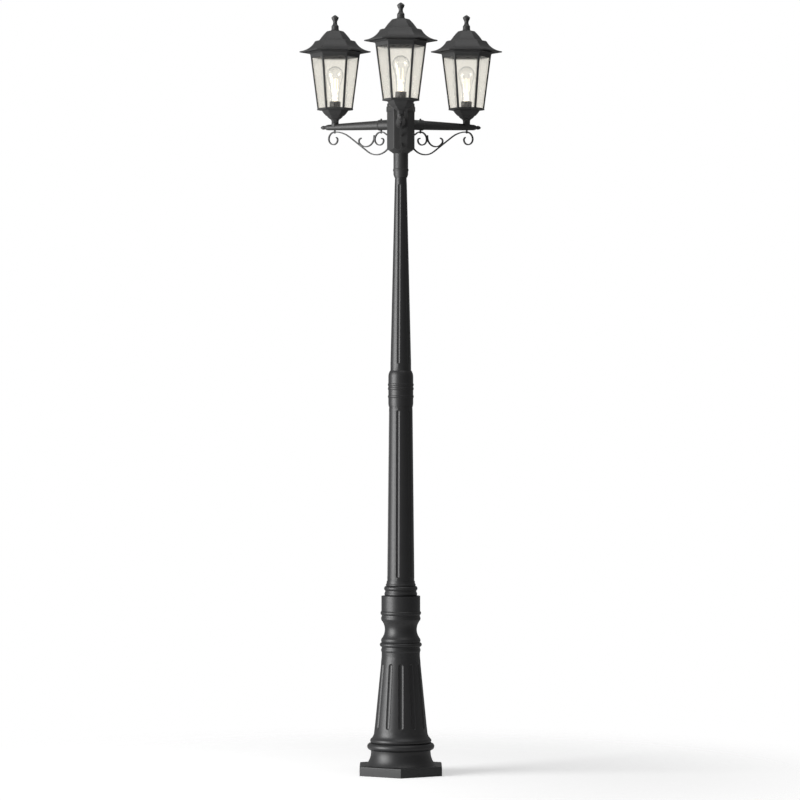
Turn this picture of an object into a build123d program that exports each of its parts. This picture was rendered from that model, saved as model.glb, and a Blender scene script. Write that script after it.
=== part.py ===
from build123d import *
import os
from math import asin, atan2, cos, degrees, hypot, pi, radians, sin, sqrt, tan

os.makedirs("parts", exist_ok=True)

# A garden lamp post with three hexagonal lanterns on arms, 120 degrees apart.
# Millimetres. +Z is up, the origin is the centre of the foot's underside, and -Y is the front.

# ---------------------------------------------------------------- driving dimensions

# Arms and what they carry
arm_names = ("front", "right", "left")
front_angle = -90  # direction of the first arm, degrees from +X
arm_reach = 230  # post axis to lantern axis

# Fits
spigot_clearance = 0.2  # round a spigot in its socket, on the radius
screw_clearance = 0.1  # round a screw in its hole, on the radius
running_gap = 0.3  # between the roof, which lifts off, and what it sits on

# Base casting
foot_across_flats = 246
foot_height = 28
foot_edge_round = 2.5
foot_rim = 9  # wall of the foot round its hollow
foot_roof = 8
anchor_count = 3
anchor_circle = 240
anchor_hole = 11
anchor_boss = 24
base_wall = 6
scotia_low_radius = 104
scotia_high_radius = 89.5
scotia_height = 38
base_groove = 6  # dark groove under the torus
torus_height = 21
torus_proud = 10.8
torus_seat_step = 0.5  # the torus sits this much outside the scotia
base_bead_height = 14
base_bead_proud = 3.8
base_bead_step = 1.5  # the bead above it sits this much inside
base_cove_height = 17
cone_low_radius = 80
cone_high_radius = 57.5
cone_height = 228
cone_flutes = 12
cone_flute_width = 15
cone_flute_depth = 3.2
cone_flute_margin_low = 13  # plain cone below the flutes
cone_flute_margin_high = 19  # plain cone above them

# Pedestal casting
pedestal_wall = 5
pedestal_plain = 13  # plain stretch above the cone
belt_gap = 4
astragal_height = 12
astragal_proud = 1.8
belt_height = 13
belt_proud = 5.6
waist_radius = 48
waist_height = 54
drum_radius = 58.2
drum_height = 45
drum_belt_height = 12.5
drum_belt_proud = 3.4
neck_radius = 47
neck_step_proud = 2.2
neck_belt_proud = 3.2
lip_radius = 43
lip_height = 16
pedestal_spigot = 14  # length that drops into the base casting
shaft_socket_depth = 38  # depth that the lower shaft stands in
socket_ledge = 7
socket_ledge_width = 1  # ledge under the shaft's wall, past its bore
socket_lip = 1  # wall of the socket at its mouth

# Shafts
lower_shaft_length = 522.5  # the part that shows
lower_shaft_low_radius = 40.8
lower_shaft_high_radius = 35.3
shaft_wall = 4.2
shaft_flutes = 6
shaft_flute_turn = 13.7  # the first flute stands this far left of the front
lower_flute_width = 11
lower_flute_depth = 2.4
lower_flute_margin = 10
collar_length = 108
collar_radius = 37.4
collar_shaft_socket = 32
collar_web = 6
collar_ring_height = 9
collar_ring_places = (0.28, 0.5, 0.61)  # rings' middles, as shares of its length
collar_lip_proud = 0.8
collar_spigot_step = 2  # the lower shaft's end is this much thinner inside the collar
upper_spigot_step = 3
collar_ring_proud = 1.5
upper_shaft_length = 579
upper_shaft_low_radius = 31.5
upper_shaft_high_radius = 17.8
upper_wall_high = 2.5
upper_flute_width = 8.5
upper_flute_depth = 1.3
upper_flute_margin = 20

# Head socket and hub
head_socket_length = 72
head_socket_radius = 22.1
head_ring_proud = 1.4
head_ring_height = 9
head_ring_level = 18  # ring's foot above the socket's own
head_lip_proud = 0.8
shaft_plug = 40  # length of the upper shaft inside the head socket
hub_corner_radius = 41.7
hub_cone_height = 14
hub_height = 111
hub_band_height = 16
hub_band_proud = 2
hub_wall = 5
hub_floor = 8
hub_spigot = 11
hub_spigot_step = 3
hub_cap_height = 18
hub_cap_edge = 9  # upright side of the cap below its slopes
hub_cap_skirt = 8
hub_cap_top_corner = 25
arm_level = 88  # arms' axis above the hub's underside

# Tie rod and crossbar
tie_rod_diameter = 10
nut_across_flats = 16
nut_height = 8
tie_rod_stickout = 3
tie_rod_chamfer = 1
crossbar_length = 200
crossbar_width = 40
crossbar_thickness = 6
crossbar_corner = 8
block_length = 36
block_width = 18
block_height = 18
block_foot_height = 9
block_offset = 34  # post axis to the terminal block
block_pitch = 12
block_pole_gap = 2
block_screw_radius = 2
block_screw_offset = 4.5
block_screw_depth = 6

# Lamp wires
wire_diameter = 4.6
wire_ring = 12.2  # wires run up the post on this radius
wire_lean_low = 70  # above the block, where a wire starts to lean in
wire_lean_high = 300
wire_lean_bend = 400
wire_hole_clearance = 0.6
wire_hub_bend = 22
wire_lamp_bend = 9

# Arms
arm_root_radius = 13
arm_start_radius = 14
arm_middle_radius = 11.8
arm_end_radius = 8.6
arm_past_lantern = 22  # lantern axis to the end of the tube
arm_bore_root = 7.4
arm_bore_end = 6
arm_thread_radius = 9.8
arm_thread_length = 12
lock_nut_across_flats = 27
lock_nut_thickness = 5
sleeve_radius = 15.3
sleeve_end = 70  # post axis to the sleeve's mouth ring
mouth_ring_width = 7
mouth_ring_proud = 1
pad_radius = 11
pad_height = 12  # arm axis to the lantern's seat
arm_nose_length = 13
arm_neck_radius = 4.6
arm_ball_radius = 5.8
arm_ball_length = 14
arm_tip_length = 3
arm_finial_plug = 10

# Scroll brackets: flat bar, drawn in the arm's own upright plane and measured from its axis
bar_thickness = 3.6
bar_width = 6
weld_overlap = 0.4
outer_curl_reach = 1  # lantern axis to the top of the outer curl, outwards
outer_curl_drop = 14.5  # arm axis to the bar's middle at that top
outer_curl_radii = (21, 17, 14, 8)  # each turn of the curl is tighter than the last
outer_curl_end = 70  # degrees that the last of them turns
upper_sweep_radius = 88
lower_sweep_radius = 53
lower_sweep_reach = 47.3  # hub's face to the middle of the lower sweep
lower_sweep_drop = 35.4
inner_curl_reach = 68  # post axis to the inner curl's middle
inner_curl_drop = 20.5
inner_curl_radii = (22, 17, 13.5, 6)
inner_curl_end = 110
inner_stem_slope = 35
c_scroll_radius = 28.5
c_scroll_past_curl = 18.7  # degrees that it goes on past its weld to the inner curl
c_scroll_past_run = 19.0  # degrees that it goes on past its weld to the straight run
c_hook_radius = 9
c_hook_turn = 125
scroll_boss_radius = 2.8
scroll_screw_radius = 1.6
scroll_head_radius = 3.1
scroll_head_height = 2.6
scroll_thread_length = 2.6  # length in the arm's root
outer_screw_wall = 1.6  # metal between the outer screw's tip and the arm's bore

# Lantern: heights are above its seat on the arm, sizes of hexagons are to the corners
bowl_height = 39.5
bowl_rim_corner = 41
bowl_bulge_corner = 35.5
bowl_bulge_height = 31
bowl_step_corner = 24.6
bowl_step_height = 22
bowl_step = 2
bowl_throat_corner = 16.7
bowl_throat_height = 13.5
bowl_neck_corner = 11
bowl_neck_height = 5
bowl_wall = 3.2
bowl_floor_height = 14
bowl_boss_height = 9
plate_corner = 54.5
plate_thickness = 4
plate_hole_radius = 24
cage_low_corner = 54
cage_high_corner = 75
cage_wall_height = 162.5
cage_wall = 2.6
corner_flange = 6.3
bottom_rail = 2
top_rail = 7
rim_corner = 84
rim_height = 9.5
rim_lip = 2.5
rim_land = 9.5
pane_thickness = 3
pane_gap = 0.3
brim_corner = 108
brim_edge = 3.5
brim_droop = 1  # brim's edge below the roof's seat
flare_radius = 50.7
roof_wall = 3
roof_seat_width = 4.5
skirt_depth = 7.5
skirt_wall = 3
shoulder_corner = 61.9  # heights from here to the crown are above the roof's seat
shoulder_height = 31.8
terrace_corner = 58.9
terrace_height = 34
dome_low_corner = 47.9
dome_low_height = 36
dome_middle_corner = 36.5
dome_middle_height = 51.2
dome_high_corner = 25
dome_high_height = 63.2
crown_radius = 12.2
crown_height = 65.7
grub_screw_radius = 1.5
grub_screw_length = 5.5
finial_height = 47
finial_drum_radius = 11
finial_drum_low = 4.5
finial_drum_high = 11.5
finial_shoulder_radius = 9.2
finial_shoulder_height = 15
finial_neck_radius = 6.2
finial_neck_height = 22
finial_cup_radius = 9.4
finial_cup_height = 32.5
finial_lip_radius = 11.1
finial_lip_height = 38
finial_lip_edge = 1.2
finial_tip_radius = 1.6
finial_stud_radius = 3
finial_stud_length = 12
finial_boss_radius = 7
nipple_radius = 5
nipple_bore = 3.4
nipple_thread = 6  # length in the arm's pad
nipple_top = 26
nipple_nut_across_flats = 14
nipple_nut_height = 4
cage_screw_count = 3
cage_screw_radius = 2
cage_screw_circle = 28.5
cage_screw_length = 9
cage_screw_head_radius = 3.6
cage_screw_head_height = 2.2
cage_boss_radius = 4.5

# Lampholder and bulb
holder_radius = 16.5
holder_foot_radius = 10
holder_height = 48
holder_taper = 12
holder_round = 2
holder_mouth_radius = 13.5
holder_mouth_depth = 29
bulb_cap_radius = 13
bulb_cap_height = 27
bulb_cap_wall = 1
bulb_neck_radius = 12.4
bulb_radius = 25
bulb_middle = 83  # middle of the round end above the cap's rim
bulb_shoulder_angle = 20  # where the neck's flare meets the round end, below its middle
bulb_glass = 1
stem_radius = 4.5
stem_height = 34
stem_disc = 1.6
stem_disc_radius = 9.8
filament_radius = 1.3
filament_length = 38
filament_circle = 8
filament_count = 4

# ---------------------------------------------------------------- levels and derived sizes

flat_ratio = cos(radians(30))  # middle of a hexagon's side over its corner radius
arm_count = len(arm_names)
arm_spacing = 360 / arm_count

scotia_top = foot_height + scotia_height
torus_low = scotia_top + base_groove
torus_top = torus_low + torus_height
base_bead_top = torus_top + base_bead_height
cone_low = base_bead_top + base_cove_height
base_top = cone_low + cone_height
torus_seat_radius = scotia_high_radius + torus_seat_step
base_bead_seat_radius = scotia_high_radius - base_bead_step

astragal_low = base_top + pedestal_plain
belt_low = astragal_low + astragal_height + belt_gap
waist_low = belt_low + belt_height + astragal_height
waist_top = waist_low + waist_height
drum_belt_low = waist_top + astragal_height + belt_gap
drum_low = drum_belt_low + drum_belt_height
drum_top = drum_low + drum_height
neck_belt_low = drum_top + astragal_height + belt_gap
lip_low = neck_belt_low + belt_height
pedestal_top = lip_low + lip_height
socket_floor = pedestal_top - shaft_socket_depth

lower_shaft_top = pedestal_top + lower_shaft_length
collar_top = lower_shaft_top + collar_length
collar_web_low = lower_shaft_top + collar_shaft_socket
collar_web_top = collar_web_low + collar_web
upper_shaft_top = collar_top + upper_shaft_length
head_socket_top = upper_shaft_top + head_socket_length
hub_low = head_socket_top
hub_floor_low = hub_low + hub_spigot + spigot_clearance
hub_floor_top = hub_floor_low + hub_floor
hub_band_low = hub_low + hub_cone_height + hub_height
hub_top = hub_band_low + hub_band_height
hub_flat = hub_corner_radius * flat_ratio
arm_z = hub_low + arm_level
lantern_z = arm_z + pad_height

foot_hollow = foot_height - foot_roof
crossbar_low = foot_hollow - crossbar_thickness
shaft_bore_low = lower_shaft_low_radius - shaft_wall
shaft_bore_high = lower_shaft_high_radius - shaft_wall
collar_bore = upper_shaft_low_radius - shaft_wall
lower_spigot_radius = lower_shaft_high_radius - collar_spigot_step
upper_spigot_radius = upper_shaft_low_radius - upper_spigot_step
hub_spigot_radius = head_socket_radius - hub_spigot_step
upper_bore_high = upper_shaft_high_radius - upper_wall_high
ledge_radius = shaft_bore_low - socket_ledge_width

cage_low = bowl_height + plate_thickness
cage_top = cage_low + cage_wall_height
rim_top = cage_top + rim_height
roof_seat = rim_top + running_gap
finial_seat = roof_seat + crown_height
holder_low = bowl_floor_height + nipple_nut_height
holder_top = holder_low + holder_height
bulb_cap_low = holder_top - holder_mouth_depth
globe_low = bulb_cap_low + bulb_cap_height


# ---------------------------------------------------------------- ways of making

def side_reach(corner_radius):
    """Distance from a hexagon's middle to its sides."""
    return corner_radius * flat_ratio


def bead(foot, height, proud):
    """Half-round moulding on a turned outline, straight up from foot; gives the point above it."""
    x, y = foot
    ThreePointArc(foot, (x + proud, y + height / 2), (x, y + height))
    return (x, y + height)


def flute_cutter(low_point, high_point, width, depth):
    """Round-ended cutter lying along a tapered surface from one (radius, height) to the other."""
    radius = (width**2 / 4 + depth**2) / (2 * depth)
    run = hypot(high_point[0] - low_point[0], high_point[1] - low_point[1])
    along = ((high_point[0] - low_point[0]) / run, (high_point[1] - low_point[1]) / run)
    outward = (along[1] * (radius - depth), -along[0] * (radius - depth))
    start = (
        low_point[0] + outward[0] + along[0] * width / 2,
        0,
        low_point[1] + outward[1] + along[1] * width / 2,
    )
    length = run - width
    axis_plane = Plane(start, x_dir=(0, 1, 0), z_dir=(along[0], 0, along[1]))
    with BuildPart(axis_plane) as cutter:
        Cylinder(radius, length, align=(Align.CENTER, Align.CENTER, Align.MIN))
        with Locations((0, 0, 0), (0, 0, length)):
            Sphere(radius)
    return cutter


def mitred_side(outline, half_length, gap=0):
    """One side of a hexagonal body: the outline drawn out along its flat and mitred both ways."""
    with BuildPart() as one_side:
        extrude(outline.sketch, amount=half_length, both=True)
        for hand in (-1, 1):
            normal = (sin(radians(30)), hand * flat_ratio, 0)
            start = (normal[0] * gap / 2, normal[1] * gap / 2, 0)
            split(bisect_by=Plane(start, z_dir=normal), keep=Keep.TOP)
    return one_side


def hand_in(piece, label):
    piece.part.label = label
    export_step(piece.part, f"parts/{label}.step")


def place_on_arms(piece, label, distance=0, height=0):
    """Turn a piece modelled along +X to each arm, as three separate nodes."""
    for index, arm_name in enumerate(arm_names):
        angle = front_angle + index * arm_spacing
        with BuildPart() as placed:
            with Locations((0, 0, height)):
                with PolarLocations(distance, 1, start_angle=angle):
                    add(piece.part)
        hand_in(placed, f"{arm_name}_{label}")


def place_as_group(piece, label, distance=0, height=0):
    """Turn a piece modelled along +X to each arm, as one node of separate solids."""
    with BuildPart() as placed:
        with Locations((0, 0, height)):
            with PolarLocations(distance, arm_count, start_angle=front_angle):
                add(piece.part)
    hand_in(placed, label)


# ---------------------------------------------------------------- base casting

foot_corner = foot_across_flats / 2 / flat_ratio

with BuildPart() as base_casting:
    with BuildSketch() as foot_outline:
        RegularPolygon(foot_corner, 6, rotation=30)
    extrude(amount=foot_height)
    fillet(base_casting.faces().sort_by(Axis.Z)[-1].edges(), foot_edge_round)
    with BuildSketch(Plane.XZ) as turned_outline:
        with BuildLine():
            Line((0, foot_height / 2), (scotia_low_radius, foot_height / 2))
            Line((scotia_low_radius, foot_height / 2), (scotia_low_radius, foot_height))
            TangentArc(
                (scotia_high_radius, scotia_top), (scotia_low_radius, foot_height), tangent=(0, -1)
            )
            Line((scotia_high_radius, scotia_top), (torus_seat_radius, torus_low))
            above_torus = bead((torus_seat_radius, torus_low), torus_height, torus_proud)
            Line(above_torus, (base_bead_seat_radius, torus_top))
            above_bead = bead((base_bead_seat_radius, torus_top), base_bead_height, base_bead_proud)
            TangentArc(
                (cone_low_radius, cone_low),
                above_bead,
                tangent=(cone_low_radius - cone_high_radius, -cone_height),
            )
            Line((cone_low_radius, cone_low), (cone_high_radius, base_top))
            Line((cone_high_radius, base_top), (0, base_top))
            Line((0, base_top), (0, foot_height / 2))
        make_face()
    revolve(axis=Axis.Z)
    with BuildSketch() as foot_recess:
        RegularPolygon(foot_corner - foot_rim / flat_ratio, 6, rotation=30)
    extrude(amount=foot_hollow, mode=Mode.SUBTRACT)
    with BuildSketch(Plane.XZ) as hollow_outline:
        with BuildLine():
            Polyline(
                (0, foot_hollow),
                (scotia_high_radius - base_wall, foot_hollow),
                (scotia_high_radius - base_wall, torus_top),
                (cone_low_radius - base_wall, cone_low),
                (cone_high_radius - base_wall, base_top),
                (0, base_top),
                close=True,
            )
        make_face()
    revolve(axis=Axis.Z, mode=Mode.SUBTRACT)
    with PolarLocations(anchor_circle / 2, anchor_count, start_angle=-30):
        Cylinder(anchor_boss / 2, foot_hollow, align=(Align.CENTER, Align.CENTER, Align.MIN))
        Cylinder(
            anchor_hole / 2,
            foot_height,
            align=(Align.CENTER, Align.CENTER, Align.MIN),
            mode=Mode.SUBTRACT,
        )
    cone_slope = (cone_low_radius - cone_high_radius) / cone_height
    cone_flute = flute_cutter(
        (cone_low_radius - cone_slope * cone_flute_margin_low, cone_low + cone_flute_margin_low),
        (cone_high_radius + cone_slope * cone_flute_margin_high, base_top - cone_flute_margin_high),
        cone_flute_width,
        cone_flute_depth,
    )
    with PolarLocations(0, cone_flutes, start_angle=front_angle):
        add(cone_flute.part, mode=Mode.SUBTRACT)

hand_in(base_casting, "base_casting")

# ---------------------------------------------------------------- pedestal casting

with BuildPart() as pedestal_casting:
    with BuildSketch(Plane.XZ) as turned_outline:
        with BuildLine():
            drum_seat_radius = cone_high_radius
            Line((0, base_top), (drum_seat_radius, base_top))
            Line((drum_seat_radius, base_top), (drum_seat_radius, astragal_low))
            point = bead((drum_seat_radius, astragal_low), astragal_height, astragal_proud)
            Line(point, (drum_seat_radius, belt_low))
            point = bead((drum_seat_radius, belt_low), belt_height, belt_proud)
            point = bead(point, astragal_height, astragal_proud)
            ThreePointArc(
                point,
                (waist_radius, waist_low + waist_height / 2),
                (drum_seat_radius, waist_top),
            )
            point = bead((drum_seat_radius, waist_top), astragal_height, astragal_proud)
            Line(point, (drum_seat_radius, drum_belt_low))
            point = bead((drum_seat_radius, drum_belt_low), drum_belt_height, drum_belt_proud)
            Line(point, (drum_radius, drum_low))
            Line((drum_radius, drum_low), (drum_radius, drum_top))
            Line((drum_radius, drum_top), (neck_radius, drum_top))
            point = bead((neck_radius, drum_top), astragal_height, neck_step_proud)
            Line(point, (neck_radius, neck_belt_low))
            point = bead((neck_radius, neck_belt_low), belt_height, neck_belt_proud)
            Line(point, (lip_radius, lip_low))
            point = bead((lip_radius, lip_low), lip_height / 2, astragal_proud)
            lip_edge = lower_shaft_low_radius + spigot_clearance + socket_lip
            Line(point, (lip_edge, pedestal_top))
            Line((lip_edge, pedestal_top), (0, pedestal_top))
            Line((0, pedestal_top), (0, base_top))
        make_face()
    revolve(axis=Axis.Z)
    spigot_radius = cone_high_radius - base_wall - spigot_clearance
    with BuildSketch(Plane.XY.offset(base_top)):
        Circle(spigot_radius)
    extrude(amount=-pedestal_spigot)
    with BuildSketch(Plane.XZ) as hollow_outline:
        with BuildLine():
            Polyline(
                (0, base_top - pedestal_spigot),
                (waist_radius - pedestal_wall, base_top - pedestal_spigot),
                (waist_radius - pedestal_wall, socket_floor - socket_ledge),
                (ledge_radius, socket_floor - socket_ledge),
                (ledge_radius, socket_floor),
                (lower_shaft_low_radius + spigot_clearance, socket_floor),
                (lower_shaft_low_radius + spigot_clearance, pedestal_top),
                (0, pedestal_top),
                close=True,
            )
        make_face()
    revolve(axis=Axis.Z, mode=Mode.SUBTRACT)

hand_in(pedestal_casting, "pedestal_casting")

# ---------------------------------------------------------------- lower shaft

with BuildPart() as lower_shaft:
    with BuildSketch(Plane.XZ) as tube_outline:
        with BuildLine():
            Polyline(
                (shaft_bore_low, socket_floor),
                (lower_shaft_low_radius, socket_floor),
                (lower_shaft_low_radius, pedestal_top),
                (lower_shaft_high_radius, lower_shaft_top),
                (lower_spigot_radius, lower_shaft_top),
                (lower_spigot_radius, collar_web_low - spigot_clearance),
                (shaft_bore_high, collar_web_low - spigot_clearance),
                close=True,
            )
        make_face()
    revolve(axis=Axis.Z)
    shaft_slope = (lower_shaft_low_radius - lower_shaft_high_radius) / lower_shaft_length
    lower_flute = flute_cutter(
        (
            lower_shaft_low_radius - shaft_slope * lower_flute_margin,
            pedestal_top + lower_flute_margin,
        ),
        (
            lower_shaft_high_radius + shaft_slope * lower_flute_margin,
            lower_shaft_top - lower_flute_margin,
        ),
        lower_flute_width,
        lower_flute_depth,
    )
    with PolarLocations(0, shaft_flutes, start_angle=front_angle - shaft_flute_turn):
        add(lower_flute.part, mode=Mode.SUBTRACT)

hand_in(lower_shaft, "lower_shaft")

# ---------------------------------------------------------------- joint collar

with BuildPart() as joint_collar:
    with BuildSketch(Plane.XZ) as turned_outline:
        with BuildLine():
            point = (collar_radius, lower_shaft_top + collar_ring_height)
            Polyline(
                (0, lower_shaft_top),
                (lower_shaft_high_radius + collar_lip_proud, lower_shaft_top),
                point,
            )
            for ring_place in collar_ring_places:
                ring_middle = lower_shaft_top + collar_length * ring_place
                ring_foot = (collar_radius, ring_middle - collar_ring_height / 2)
                Line(point, ring_foot)
                point = bead(ring_foot, collar_ring_height, collar_ring_proud)
            cove_foot = (collar_radius, collar_top - 2 * collar_ring_height)
            cove_top = (upper_shaft_low_radius + collar_lip_proud, collar_top)
            Line(point, cove_foot)
            TangentArc(cove_foot, cove_top, tangent=(0, 1))
            Polyline(cove_top, (0, collar_top), (0, lower_shaft_top))
        make_face()
    revolve(axis=Axis.Z)
    with BuildSketch(Plane.XZ) as hollow_outline:
        with BuildLine():
            Polyline(
                (0, lower_shaft_top),
                (lower_spigot_radius + spigot_clearance, lower_shaft_top),
                (lower_spigot_radius + spigot_clearance, collar_web_low),
                (collar_bore - collar_spigot_step, collar_web_low),
                (collar_bore - collar_spigot_step, collar_web_top),
                (upper_spigot_radius + spigot_clearance, collar_web_top),
                (upper_spigot_radius + spigot_clearance, collar_top),
                (0, collar_top),
                close=True,
            )
        make_face()
    revolve(axis=Axis.Z, mode=Mode.SUBTRACT)

hand_in(joint_collar, "joint_collar")

# ---------------------------------------------------------------- upper shaft

plug_top = upper_shaft_top + shaft_plug

with BuildPart() as upper_shaft:
    with BuildSketch(Plane.XZ) as tube_outline:
        with BuildLine():
            Polyline(
                (collar_bore, collar_web_top + spigot_clearance),
                (upper_spigot_radius, collar_web_top + spigot_clearance),
                (upper_spigot_radius, collar_top),
                (upper_shaft_low_radius, collar_top),
                (upper_shaft_high_radius, upper_shaft_top),
                (upper_shaft_high_radius, plug_top),
                (upper_bore_high, plug_top),
                (upper_bore_high, upper_shaft_top),
                close=True,
            )
        make_face()
    revolve(axis=Axis.Z)
    upper_slope = (upper_shaft_low_radius - upper_shaft_high_radius) / upper_shaft_length
    upper_flute = flute_cutter(
        (
            upper_shaft_low_radius - upper_slope * upper_flute_margin,
            collar_top + upper_flute_margin,
        ),
        (
            upper_shaft_high_radius + upper_slope * upper_flute_margin,
            upper_shaft_top - upper_flute_margin,
        ),
        upper_flute_width,
        upper_flute_depth,
    )
    with PolarLocations(0, shaft_flutes, start_angle=front_angle - shaft_flute_turn):
        add(upper_flute.part, mode=Mode.SUBTRACT)

hand_in(upper_shaft, "upper_shaft")

# ---------------------------------------------------------------- head socket

with BuildPart() as head_socket:
    with BuildSketch(Plane.XZ) as turned_outline:
        with BuildLine():
            lip = upper_shaft_high_radius + spigot_clearance + head_lip_proud
            ring_low = upper_shaft_top + head_ring_level
            cone_top = upper_shaft_top + head_ring_height
            Line((0, upper_shaft_top), (lip, upper_shaft_top))
            Line((lip, upper_shaft_top), (head_socket_radius, cone_top))
            Line((head_socket_radius, cone_top), (head_socket_radius, ring_low))
            point = bead((head_socket_radius, ring_low), head_ring_height, head_ring_proud)
            Line(point, (head_socket_radius, head_socket_top))
            Polyline(
                (head_socket_radius, head_socket_top),
                (hub_spigot_radius, head_socket_top),
                (hub_spigot_radius, head_socket_top + hub_spigot),
                (0, head_socket_top + hub_spigot),
                (0, upper_shaft_top),
            )
        make_face()
    revolve(axis=Axis.Z)
    with BuildSketch(Plane.XZ) as hollow_outline:
        with BuildLine():
            Polyline(
                (0, upper_shaft_top),
                (upper_shaft_high_radius + spigot_clearance, upper_shaft_top),
                (upper_shaft_high_radius + spigot_clearance, plug_top),
                (upper_bore_high, plug_top),
                (upper_bore_high, head_socket_top + hub_spigot),
                (0, head_socket_top + hub_spigot),
                close=True,
            )
        make_face()
    revolve(axis=Axis.Z, mode=Mode.SUBTRACT)

hand_in(head_socket, "head_socket")

# ---------------------------------------------------------------- hub and its cap

with BuildPart() as hub:
    with BuildSketch(Plane.XY.offset(hub_low)) as prism_outline:
        RegularPolygon(hub_corner_radius, 6, rotation=0)
    extrude(amount=hub_top - hub_low)
    with BuildSketch(Plane.XZ) as cone_outline:
        with BuildLine():
            Polyline(
                (0, hub_low),
                (head_socket_radius, hub_low),
                (hub_corner_radius, hub_low + hub_cone_height),
                (hub_corner_radius, hub_top),
                (0, hub_top),
                close=True,
            )
        make_face()
    revolve(axis=Axis.Z, mode=Mode.INTERSECT)
    with BuildSketch(Plane.XY.offset(hub_band_low)):
        RegularPolygon(hub_corner_radius + hub_band_proud, 6, rotation=0)
    extrude(amount=hub_band_height)
    with BuildSketch(Plane.XY.offset(hub_floor_top)):
        RegularPolygon(hub_corner_radius - hub_wall / flat_ratio, 6, rotation=0)
    extrude(amount=hub_top - hub_floor_top, mode=Mode.SUBTRACT)
    with BuildSketch(Plane.XY.offset(hub_low)):
        Circle(hub_spigot_radius + spigot_clearance)
    extrude(amount=hub_spigot + spigot_clearance, mode=Mode.SUBTRACT)
    with BuildSketch(Plane.XY.offset(hub_floor_low)):
        Circle(tie_rod_diameter / 2 + screw_clearance)
        with PolarLocations(wire_ring, arm_count, start_angle=front_angle):
            Circle(wire_diameter / 2 + wire_hole_clearance)
    extrude(amount=hub_floor, mode=Mode.SUBTRACT)
    with Locations((0, 0, arm_z)):
        with PolarLocations(0, arm_count, start_angle=front_angle):
            Cylinder(
                arm_thread_radius + screw_clearance,
                2 * hub_corner_radius,
                rotation=(0, 90, 0),
                align=(Align.CENTER, Align.CENTER, Align.MIN),
                mode=Mode.SUBTRACT,
            )

hand_in(hub, "hub")

with BuildPart() as hub_cap:
    cap_shoulder = hub_top + hub_cap_edge
    with BuildSketch(Plane.XY.offset(hub_top)):
        RegularPolygon(hub_corner_radius, 6, rotation=0)
    extrude(amount=hub_cap_edge)
    with BuildSketch(Plane.XY.offset(cap_shoulder)):
        RegularPolygon(hub_corner_radius, 6, rotation=0)
    with BuildSketch(Plane.XY.offset(hub_top + hub_cap_height)):
        RegularPolygon(hub_cap_top_corner, 6, rotation=0)
    loft()
    skirt_corner = hub_corner_radius - (hub_wall + spigot_clearance) / flat_ratio
    with BuildSketch(Plane.XY.offset(hub_top)):
        RegularPolygon(skirt_corner, 6, rotation=0)
    extrude(amount=-hub_cap_skirt)
    with BuildSketch(Plane.XY.offset(hub_top - hub_cap_skirt)):
        RegularPolygon(skirt_corner - hub_wall, 6, rotation=0)
    extrude(amount=hub_cap_skirt + hub_cap_edge, mode=Mode.SUBTRACT)

hand_in(hub_cap, "hub_cap")

# ---------------------------------------------------------------- tie rod, crossbar, terminals

rod_low = crossbar_low - nut_height - tie_rod_stickout
rod_top = hub_floor_top + nut_height + tie_rod_stickout

with BuildPart() as tie_rod:
    with BuildSketch(Plane.XY.offset(rod_low)):
        Circle(tie_rod_diameter / 2)
    extrude(amount=rod_top - rod_low)
    chamfer(tie_rod.edges().filter_by(GeomType.CIRCLE), tie_rod_chamfer)

hand_in(tie_rod, "tie_rod")

with BuildPart() as tie_rod_nuts:
    for nut_low in (crossbar_low - nut_height, hub_floor_top):
        with BuildSketch(Plane.XY.offset(nut_low)):
            RegularPolygon(nut_across_flats / 2 / flat_ratio, 6, rotation=0)
            Circle(tie_rod_diameter / 2 + screw_clearance, mode=Mode.SUBTRACT)
        extrude(amount=nut_height)

hand_in(tie_rod_nuts, "tie_rod_nuts")

with BuildPart() as crossbar:
    with BuildSketch(Plane.XY.offset(crossbar_low)):
        RectangleRounded(crossbar_length, crossbar_width, crossbar_corner)
        Circle(tie_rod_diameter / 2 + screw_clearance, mode=Mode.SUBTRACT)
    extrude(amount=crossbar_thickness)

hand_in(crossbar, "crossbar")

block_top = foot_hollow + block_height

with BuildPart() as terminal_block:
    with BuildSketch(Plane.XY.offset(foot_hollow)):
        with Locations((block_offset, 0)):
            Rectangle(block_width, arm_count * block_pitch)
    extrude(amount=block_foot_height)
    with BuildSketch(Plane.XY.offset(foot_hollow + block_foot_height)):
        with Locations((block_offset, 0)):
            with GridLocations(0, block_pitch, 1, arm_count):
                Rectangle(block_width - block_pole_gap, block_pitch - block_pole_gap)
    extrude(amount=block_height - block_foot_height)
    with BuildSketch(Plane.XY.offset(block_top)):
        with Locations((block_offset + block_screw_offset, 0)):
            with GridLocations(0, block_pitch, 1, arm_count):
                Circle(block_screw_radius)
    extrude(amount=-block_screw_depth, mode=Mode.SUBTRACT)

hand_in(terminal_block, "terminal_block")

# ---------------------------------------------------------------- lamp wires

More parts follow.
